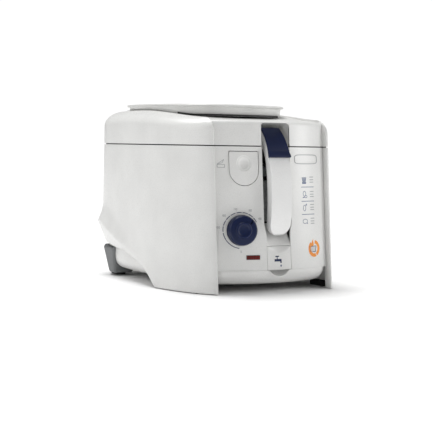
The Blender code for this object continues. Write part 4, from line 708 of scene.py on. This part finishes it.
def pocket_place(column, row):
    y, z = pocket_side[row]
    x = pocket_half * (2 * min(max(column - 1, 0), 8) / 8 - 1)
    if column in (0, 10):
        y = min(y, -0.1630 if row < 2 else -0.1655)
    return Vector((x, y, z))


pocket = sheet_of(10, len(pocket_side) - 1, pocket_place)
bmesh.ops.remove_doubles(pocket, verts=pocket.verts, dist=1e-5)
bmesh.ops.recalc_face_normals(pocket, faces=pocket.faces)
piece("notch_pocket", pocket, abs_white, "lid")

# (inset, share of the height) from the foot to the middle of the top
COVER_PROFILE = [(0.0050, 0.0), (0.0046, 0.50), (0.0042, 0.72), (0.0010, 0.76), (0.0, 0.81), (0.0003, 0.90),
                 (0.0016, 0.965), (0.0050, 0.990), (0.020, 0.996), (0.060, 1.0)]
COVER_COLUMNS = 128


def cover_foot(y):
    return max(trough_z(y) + 0.0006, 0.2525)


def cover_place(column, row):
    inset, rise = COVER_PROFILE[len(COVER_PROFILE) - 1 - row]
    angle = 2 * math.pi * column / COVER_COLUMNS
    edge, foot = cover_edge(angle, inset), cover_foot(cover_edge(angle).y)
    return Vector((edge.x, edge.y, foot + (COVER_TOP_Z - foot) * rise))


cover = outward(ring_of(COVER_COLUMNS, len(COVER_PROFILE) - 1, cover_place, True))
piece("cover", cover, abs_white, "cover", ["filter_cover"], thick=0.002)


# painted shade: a black band in the mouth of the steam passage under the front of the cover stands in for the
# shade inside it
SLIT_FROM, SLIT_TO, SLIT_HEIGHT, SLIT_COLUMNS = math.radians(-58), math.radians(34), 0.0026, 48


def slit_place(column, row):
    angle = SLIT_FROM + (SLIT_TO - SLIT_FROM) * column / SLIT_COLUMNS
    edge = cover_edge(angle, (0.0040, 0.0040, 0.0052, 0.0052)[row])
    foot = cover_foot(cover_edge(angle).y) + 0.0002
    return Vector((edge.x, edge.y, foot + (0.0, SLIT_HEIGHT, SLIT_HEIGHT, 0.0)[row]))


piece("steam_slit_painted_shade", closed_band(SLIT_COLUMNS, slit_place), nylon_black_and_gap_shade, "cover")


# ------------------------------------------------------------ handle
SLIDER_Y, SLIDER_Z, SLIDER_RADIUS, SLIDER_THICK = -0.1062, 0.1750, 0.0755, 0.0026
SLIDER_FROM, SLIDER_TO = math.radians(126), math.radians(166)
PIVOT_Y, PIVOT_Z, HANDLE_HALF, GRIP_END_Z = -0.150, 0.215, 0.017, 0.0816
GRIP_FRONT = [(-0.1810, 0.182), (-0.1853, 0.162), (-0.1870, 0.137), (-0.1868, 0.115), (-0.1846, 0.096),
              (-0.1812, 0.0855), (-0.1775, 0.0822)]
GRIP_BACK = [(-0.1742, 0.0862), (-0.1748, 0.100), (-0.1756, 0.120), (-0.1750, 0.142), (-0.1728, 0.165),
             (-0.1680, 0.188), (-0.1610, 0.203), (-0.1530, 0.2085)]


def arc_points(radius, start, end, count):
    return [(SLIDER_Y + radius * math.cos(a), SLIDER_Z + radius * math.sin(a))
            for a in np.linspace(start, end, count)]


def curved(points, per_span):
    """A smooth open curve through a few points (Catmull-Rom)."""
    ends = [2 * Vector(points[0]) - Vector(points[1])] + [Vector(p) for p in points]
    ends.append(2 * Vector(points[-1]) - Vector(points[-2]))
    result = []
    for a, b, c, d in zip(ends, ends[1:], ends[2:], ends[3:]):
        for i in range(per_span):
            s = i / per_span
            result.append(tuple(0.5 * (2 * b + (c - a) * s + (2 * a - 5 * b + 4 * c - d) * s ** 2
                                       + (3 * b - a - 3 * c + d) * s ** 3)))
    return result + [tuple(points[-1])]


crown = arc_points(SLIDER_RADIUS - SLIDER_THICK - 0.0004, SLIDER_FROM, SLIDER_TO + 0.012, 18)
hub = [(PIVOT_Y + 0.0075 * math.cos(a), PIVOT_Z + 0.0075 * math.sin(a))
       for a in np.linspace(math.radians(-70), math.radians(50), 12)]
grip_side = crown + curved(GRIP_FRONT, 6) + curved(GRIP_BACK, 6) + hub
# painted light: the grip takes the lighter copy of the white ABS
grip = piece("grip", prism(grip_side, -HANDLE_HALF, HANDLE_HALF, "X"), abs_white_gloss_lit, "handle",
             ["handle_grip"])
fork = [(-0.159, 0.1905), (-0.12, 0.1905), (-0.12, 0.2275), (-0.159, 0.2275)]
carve(grip, prism(fork, -0.0102, 0.0102, "X"), "fork_cutter")
end_z = GRIP_END_Z + HANDLE_HALF
half_turn = [(HANDLE_HALF * math.cos(a), end_z + HANDLE_HALF * math.sin(a))
             for a in np.linspace(-math.pi, 0, 40)]
round_end = [(-HANDLE_HALF, 0.30)] + half_turn + [(HANDLE_HALF, 0.30)]
carve(grip, prism(round_end, -0.25, -0.10), "tongue_shape", "INTERSECT")
soften(grip, 0.0024, 5, 55)

lip = arc_points(SLIDER_RADIUS + 0.0026, SLIDER_TO - 0.040, SLIDER_TO, 6)
slider_side = arc_points(SLIDER_RADIUS, SLIDER_FROM, SLIDER_TO - 0.110, 26) + lip
slider_side += arc_points(SLIDER_RADIUS - SLIDER_THICK, SLIDER_TO, SLIDER_FROM, 28)
cap = prism(slider_side, -0.018, 0.018, "X")
for vert in cap.verts:
    vert.co.x *= 0.88 + 0.12 * smooth_step((0.236 - vert.co.z) / 0.044)
piece("slider", cap, abs_navy, "slider", ["handle_slider"],
      bevel=0.0011, segments=4, angle=50)


# ------------------------------------------------------------ channel
def channel_wall(low, high, depth_at, finish, name, nodes=()):
    half = CHANNEL_HALF + 0.0002
    rows = 12

    def place(column, row):
        x, y = [(-half, 0.003), (-half, depth_at), (half, depth_at), (half, 0.003)][column]
        z = low + (high - low) * row / rows
        return Vector((x, y + FASCIA_Y + 0.0013 + FRONT_LEAN * z, z))
    maker = sheet_of(3, rows, place)
    bmesh.ops.recalc_face_normals(maker, faces=maker.faces)
    return piece(name, maker, finish, "base", nodes, thick=0.0018)


# painted shade: the channel is white moulding; its grey finishes stand for the shade behind the handle
channel_wall(0.100, 0.160, CHANNEL_DEPTH, painted_channel_shade, "channel_lower", ["channel_liner"])
channel_wall(0.1655, 0.1795, CHANNEL_DEPTH, grey_pp_and_tab_shade, "channel_tab")


# ------------------------------------------------------------ knob
def rounded(corners, radius=0.0008, steps=4):
    """Profile points with each inner corner replaced by a small arc."""
    result = [corners[0]]
    for a, b, c in zip(corners, corners[1:], corners[2:]):
        a, b, c = Vector(a), Vector(b), Vector(c)
        cut = min(radius, (a - b).length * 0.45, (c - b).length * 0.45)
        start, end = b + (a - b).normalized() * cut, b + (c - b).normalized() * cut
        result += [tuple((1 - s) ** 2 * start + 2 * s * (1 - s) * b + s * s * end)
                   for s in np.linspace(0, 1, steps)]
    return result + [corners[-1]]


r, h = KNOB_RADIUS, KNOB_HEIGHT
knob_seat = Vector((KNOB_X, fascia_y(KNOB_X, KNOB_Z), KNOB_Z))
knob_profile = [(0, 0.0085), (0.0034, 0.0085), (0.0034, 0.0010), (r, 0.0010), (r, 0.0032),
                (r - 0.0010, h - 0.0050), (r - 0.0032, h - 0.0022), (0.0118, h - 0.0022), (0.0108, h),
                (0.0088, h), (0.0072, h - 0.0014), (0, h - 0.0018)]
knob_body = along(turned(rounded(knob_profile), 96), fascia_normal(KNOB_X), knob_seat)
knob = piece("knob", knob_body, abs_navy, "knob", ["temperature_knob"])
# pointer notch, set at the hottest mark
POINTER_ANGLE, POINTER_HALF, POINTER_FROM, POINTER_TO = math.radians(36), 0.0009, 0.0125, 0.0240
pointer = Vector((math.sin(POINTER_ANGLE), math.cos(POINTER_ANGLE)))
across = Vector((pointer.y, -pointer.x)) * POINTER_HALF
centre = Vector((KNOB_X, KNOB_Z))
notch = [tuple(centre + pointer * reach + across * side)
         for reach, side in ((POINTER_FROM, -1), (POINTER_FROM, 1), (POINTER_TO, 1), (POINTER_TO, -1))]
carve(knob, prism(notch, knob_seat.y - 0.020, knob_seat.y - 0.0100), "pointer_cutter")

# ------------------------------------------------------------ lens
lens = lie_on_fascia(prism(lamp_shape(), -0.0010, 0.0032))
piece("lens", lens, lens_red, "base", ["indicator_lens"], bevel=0.0008, segments=3)


# ------------------------------------------------------------ rear legs
LEG_BOTTOM_Z, LEG_TOP_Z = 0.0043, 0.0470
LEG_BOTTOM = [(0.0945, 0.0980), (0.1270, 0.0980), (0.1270, 0.1180), (0.1150, 0.1420), (0.0945, 0.1420)]
LEG_TOP = [(0.0900, 0.0920), (0.1335, 0.0920), (0.1335, 0.1280), (0.1190, 0.1570), (0.0900, 0.1570)]

for side, sign in (("left", -1), ("right", 1)):
    leg = bmesh.new()
    low = [leg.verts.new((sign * x, y, LEG_BOTTOM_Z)) for x, y in LEG_BOTTOM]
    high = [leg.verts.new((sign * x, y, LEG_TOP_Z)) for x, y in LEG_TOP]
    leg.faces.new(low)
    leg.faces.new(high)
    for k, following in ((k, (k + 1) % len(low)) for k in range(len(low))):
        leg.faces.new((low[k], low[following], high[following], high[k]))
    bmesh.ops.recalc_face_normals(leg, faces=leg.faces)
    piece(f"leg_{side}", leg, grey_pp_and_tab_shade, "base", [f"rear_leg_{side}"], bevel=0.004, segments=5,
          angle=20)


# ------------------------------------------------------------ marks on the fascia
INK = 0.00012
RAISED = 0.0005


def on_fascia(name, shapes, finish, height=INK, bevel=0.0):
    """Flat outlines, given in x and z, laid on the fascia as one thin piece."""
    whole = bmesh.new()
    for shape in shapes:
        part = prism(shape, 0.0, 0.0004 + height)
        bmesh.ops.triangulate(part, faces=part.faces[:])
        mesh = bpy.data.meshes.new("part")
        part.to_mesh(mesh)
        part.free()
        whole.from_mesh(mesh)
        bpy.data.meshes.remove(mesh)
    bmesh.ops.subdivide_edges(whole, edges=[e for e in whole.edges if e.calc_length() > 0.012], cuts=2)
    lie_on_fascia(whole, height)
    return piece(name, whole, finish, "base", bevel=bevel, segments=2, angle=50)


def bar(ax, az, bx, bz, width):
    """A straight stroke between two points."""
    side = Vector((bz - az, ax - bx)).normalized() * width / 2
    return [(ax + side.x, az + side.y), (bx + side.x, bz + side.y),
            (bx - side.x, bz - side.y), (ax - side.x, az - side.y)]


def sector(x, z, inner, outer, start, end, steps=None):
    """A piece of a ring; angles in degrees clockwise from the top."""
    steps = steps or max(3, int(abs(end - start) / 6))
    angles = np.radians(np.linspace(start, end, steps + 1))
    far = [(x + outer * math.sin(a), z + outer * math.cos(a)) for a in angles]
    near = [(x + inner * math.sin(a), z + inner * math.cos(a)) for a in angles[::-1]]
    return far + near


def closed_stroke(points, width):
    return [bar(*a, *b, width) for a, b in zip(points, points[1:] + points[:1])]


def open_stroke(points, width):
    return [bar(*a, *b, width) for a, b in zip(points, points[1:])]


def oval(x, z, half_x, half_z, power=2.0, steps=40):
    result = []
    for a in np.linspace(0, 2 * math.pi, steps, endpoint=False):
        c, s = math.cos(a), math.sin(a)
        result.append((x + half_x * math.copysign(abs(c) ** (2 / power), c),
                       z + half_z * math.copysign(abs(s) ** (2 / power), s)))
    return result


def digits(text, x, z, height):
    """Seven-stroke numerals for the dial, centred on a point."""
    strokes = {"0": "abcdef", "1": "bc", "2": "abged", "3": "abgcd", "4": "fgbc", "5": "afgcd", "6": "afgedc",
               "7": "abc", "8": "abcdefg", "9": "abcdfg"}
    wide, gap = height * 0.5, height * 0.78
    ends = {"a": (0, 1, 1, 1), "b": (1, 1, 1, .5), "c": (1, .5, 1, 0), "d": (0, 0, 1, 0), "e": (0, .5, 0, 0),
            "f": (0, 1, 0, .5), "g": (0, .5, 1, .5)}
    result = []
    left = x - (len(text) - 1) * gap / 2 - wide / 2
    for index, figure in enumerate(text):
        for key in strokes[figure]:
            ax, az, bx, bz = ends[key]
            result.append(bar(left + index * gap + ax * wide, z + (az - .5) * height,
                              left + index * gap + bx * wide, z + (bz - .5) * height, height * 0.16))
    return result


# dial round the knob: one long arc, then dashes, with the temperatures outside them
DIAL = 0.0254
dial = [sector(KNOB_X, KNOB_Z, DIAL - 0.0005, DIAL + 0.0005, 188, 262)]
dial += [sector(KNOB_X, KNOB_Z, DIAL - 0.0005, DIAL + 0.0005, a, a + 17)
         for a in (266, 286, 306, 326, 346, 6, 26, 46)]
on_fascia("dial_ring", dial, ink_navy)
numbers = []
for text, angle in (("150", 278), ("160", 313), ("170", 346), ("180", 24), ("190", 58)):
    turn = math.radians(angle)
    numbers += digits(text, KNOB_X + 0.0325 * math.sin(turn), KNOB_Z + 0.0308 * math.cos(turn), 0.0026)
numbers += digits("0", KNOB_X - 0.001, KNOB_Z - 0.0298, 0.0026)
on_fascia("dial_numbers", numbers, ink_grey)

# oval badge field without any name, moulded on the right
badge = oval(0.0554, 0.1908, 0.0230, 0.0065, 5.0)
on_fascia("badge_rim", closed_stroke(badge, 0.0009), ink_grey, RAISED)

# lid sign beside the release button
sign_x, sign_z = -0.0836, 0.1835
lid_sign = [(sign_x - 0.005, sign_z - 0.005), (sign_x + 0.005, sign_z - 0.005),
            (sign_x + 0.005, sign_z - 0.001), (sign_x - 0.005, sign_z - 0.001)]
open_lid = [(sign_x - 0.005, sign_z - 0.0005), (sign_x + 0.004, sign_z + 0.0062),
            (sign_x + 0.002, sign_z + 0.0015)]
on_fascia("lid_sign", closed_stroke(lid_sign, 0.0006) + closed_stroke(open_lid, 0.0006), ink_grey)


# food chart: four generic foods, each with short rules where times would stand
CHART_X, RULE_X = 0.0500, 0.0655


def food_chips(x, z):
    sticks = [bar(x + k * 0.0012, z - 0.003, x + k * 0.0019, z + 0.004, 0.0013) for k in (-2, -0.7, 0.7, 2)]
    return sticks + [bar(x - 0.004, z - 0.0045, x + 0.004, z - 0.0045, 0.0022)]


def food_drum(x, z):
    meat = closed_stroke(oval(x, z + 0.001, 0.0026, 0.0036), 0.0007)
    side_dish = closed_stroke(oval(x + 0.0028, z - 0.0032, 0.0022, 0.0018), 0.0007)
    return meat + side_dish + [bar(x - 0.0035, z - 0.0046, x, z - 0.0040, 0.0012)]


def food_fish(x, z):
    tail = [(x + 0.001, z + 0.003), (x + 0.004, z + 0.0052), (x + 0.0036, z + 0.0020)]
    return closed_stroke(oval(x - 0.0006, z - 0.0008, 0.0024, 0.0042), 0.0007) + open_stroke(tail, 0.0007)


def food_cutlet(x, z):
    slab = closed_stroke(oval(x, z, 0.0044, 0.0030, 2.6), 0.0007)
    return slab + [bar(x + 0.0035, z - 0.002, x + 0.0050, z - 0.0038, 0.001)]


chart, rules, lines = [], [], []
for z, food in ((0.161, food_chips), (0.140, food_drum), (0.121, food_fish), (0.101, food_cutlet)):
    chart += food(CHART_X, z)
    rules += [bar(RULE_X - 0.0040, z + dz, RULE_X + 0.0040, z + dz, 0.0011) for dz in (0.0040, 0.0, -0.0034)]
for z in (0.1506, 0.1300, 0.1110):
    lines.append(bar(0.0437, z, 0.0700, z, 0.0008))
on_fascia("food_signs", chart, ink_blue)
on_fascia("food_rules", rules, ink_grey)
on_fascia("food_lines", lines, ink_blue)

# orange turning sign of the rotating basket
ROTATE_X, ROTATE_Z = 0.0672, 0.0608
ARROW_INNER, ARROW_OUTER = 0.0072, 0.0122


def at_turning_sign(points):
    return [(ROTATE_X + x, ROTATE_Z + z) for x, z in points]


turning = [sector(ROTATE_X, ROTATE_Z, ARROW_INNER, ARROW_OUTER, *reach) for reach in ((8, 150), (158, 322))]
head = at_turning_sign([(-0.0102, 0.0004), (-0.0020, 0.0142), (-0.0006, 0.0050)])
on_fascia("turning_sign", turning + [head], ink_orange)
basket_sign = at_turning_sign([(-0.0095, 0.0035), (0.0045, 0.0035), (0.0030, -0.0048), (-0.0080, -0.0048)])
mesh_ends = [at_turning_sign([(-0.0088 + k * 0.0028, 0.0035), (-0.0076 + k * 0.0024, -0.0048)])
             for k in range(1, 5)]
mesh_lines = [bar(*top, *foot, 0.0005) for top, foot in mesh_ends]
on_fascia("basket_sign", closed_stroke(basket_sign, 0.0009) + mesh_lines, ink_navy)


def on_door(name, shapes, finish):
    """The same thin print, on the drain door."""
    item = on_fascia(name, shapes, finish)
    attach(item, "drain_door")
    return item


tap = [bar(-0.0085, 0.0470, 0.0030, 0.0470, 0.0034), bar(-0.0040, 0.0470, -0.0040, 0.0520, 0.0012),
       bar(-0.0070, 0.0524, -0.0010, 0.0524, 0.0016), bar(0.0022, 0.0480, 0.0022, 0.0430, 0.0022)]
on_door("tap_sign", tap, ink_navy)
on_door("drop_sign", [oval(0.0022, 0.0392, 0.0011, 0.0016, 2.0, 16)], ink_blue)


# ------------------------------------------------------------ room, camera and light
def stage_sheet(name, size, z):
    maker = bmesh.new()
    bmesh.ops.create_grid(maker, x_segments=1, y_segments=1, size=size)
    bmesh.ops.translate(maker, vec=(0, 0, z), verts=maker.verts)
    mesh = bpy.data.meshes.new(name)
    maker.to_mesh(mesh)
    maker.free()
    item = bpy.data.objects.new(name, mesh)
    bpy.context.scene.collection.objects.link(item)
    return item


def area_light(name, place, aim, size, power, tall=None):
    data = bpy.data.lights.new(name, "AREA")
    data.energy = power
    data.shape = "RECTANGLE"
    data.size, data.size_y = size, tall or size
    item = bpy.data.objects.new(name, data)
    bpy.context.scene.collection.objects.link(item)
    item.location = place
    item.rotation_euler = (Vector(aim) - Vector(place)).to_track_quat("-Z", "Y").to_euler()
    return item


# painted studio floor: matte white with a barely visible roller grain of 3 mm
floor_paint = moulded("studio_paint_white", "#FFFFFF", "#FAFAFA", 0.9, 3.0, 0.01)
floor = stage_sheet("floor", 12.0, 0.0)
floor.data.materials.append(floor_paint)

world = bpy.data.worlds.new("studio")
bpy.context.scene.world = world
world.use_nodes = True
tree = world.node_tree
backdrop = tree.nodes["Background"]
sight_ray = add(tree, "ShaderNodeLightPath")
strength = add(tree, "ShaderNodeMapRange", [("Value", sight_ray, "Is Camera Ray")],
               inputs=[("To Min", 0.28), ("To Max", 1.05)])
tree.links.new(strength.outputs["Result"], backdrop.inputs["Strength"])
backdrop.inputs["Color"].default_value = linear("#FFFFFF")
bpy.context.scene.view_settings.view_transform = "Standard"

# wide overhead panel, slightly behind, then one soft strip on each side
sun_data = bpy.data.lights.new("overhead", "SUN")
sun_data.energy, sun_data.angle = 2.9, math.radians(38)
sun = bpy.data.objects.new("overhead", sun_data)
bpy.context.scene.collection.objects.link(sun)
sun.rotation_euler = (-Vector((-0.04, 0.34, 1.0))).to_track_quat("-Z", "Y").to_euler()
area_light("strip_left", (-1.7, 0.1, 0.9), (0, 0, 0.16), 0.5, 4.2, 1.2)
area_light("strip_right", (1.7, -1.2, 0.8), (0.03, -0.1, 0.16), 0.4, 11.0, 1.2)

AZIMUTH, ELEVATION, ROLL = math.radians(-30), math.radians(3.5), math.radians(0.9)
DISTANCE, AIM_Z = 1.83, 0.099
flat = math.cos(ELEVATION)
sight = Vector((math.sin(AZIMUTH) * flat, -math.cos(AZIMUTH) * flat, math.sin(ELEVATION)))
camera_data = bpy.data.cameras.new("camera")
camera_data.lens, camera_data.sensor_width = 97.7, 36
camera = bpy.data.objects.new("camera", camera_data)
bpy.context.scene.collection.objects.link(camera)
aim = Vector((0, 0, AIM_Z)) + SHIFT
camera.location = aim + sight * DISTANCE
facing = (aim - camera.location).to_track_quat("-Z", "Y").to_matrix().to_4x4()
camera.rotation_euler = (facing @ Matrix.Rotation(ROLL, 4, "Z")).to_euler()
bpy.context.scene.camera = camera

bpy.context.view_layer.update()
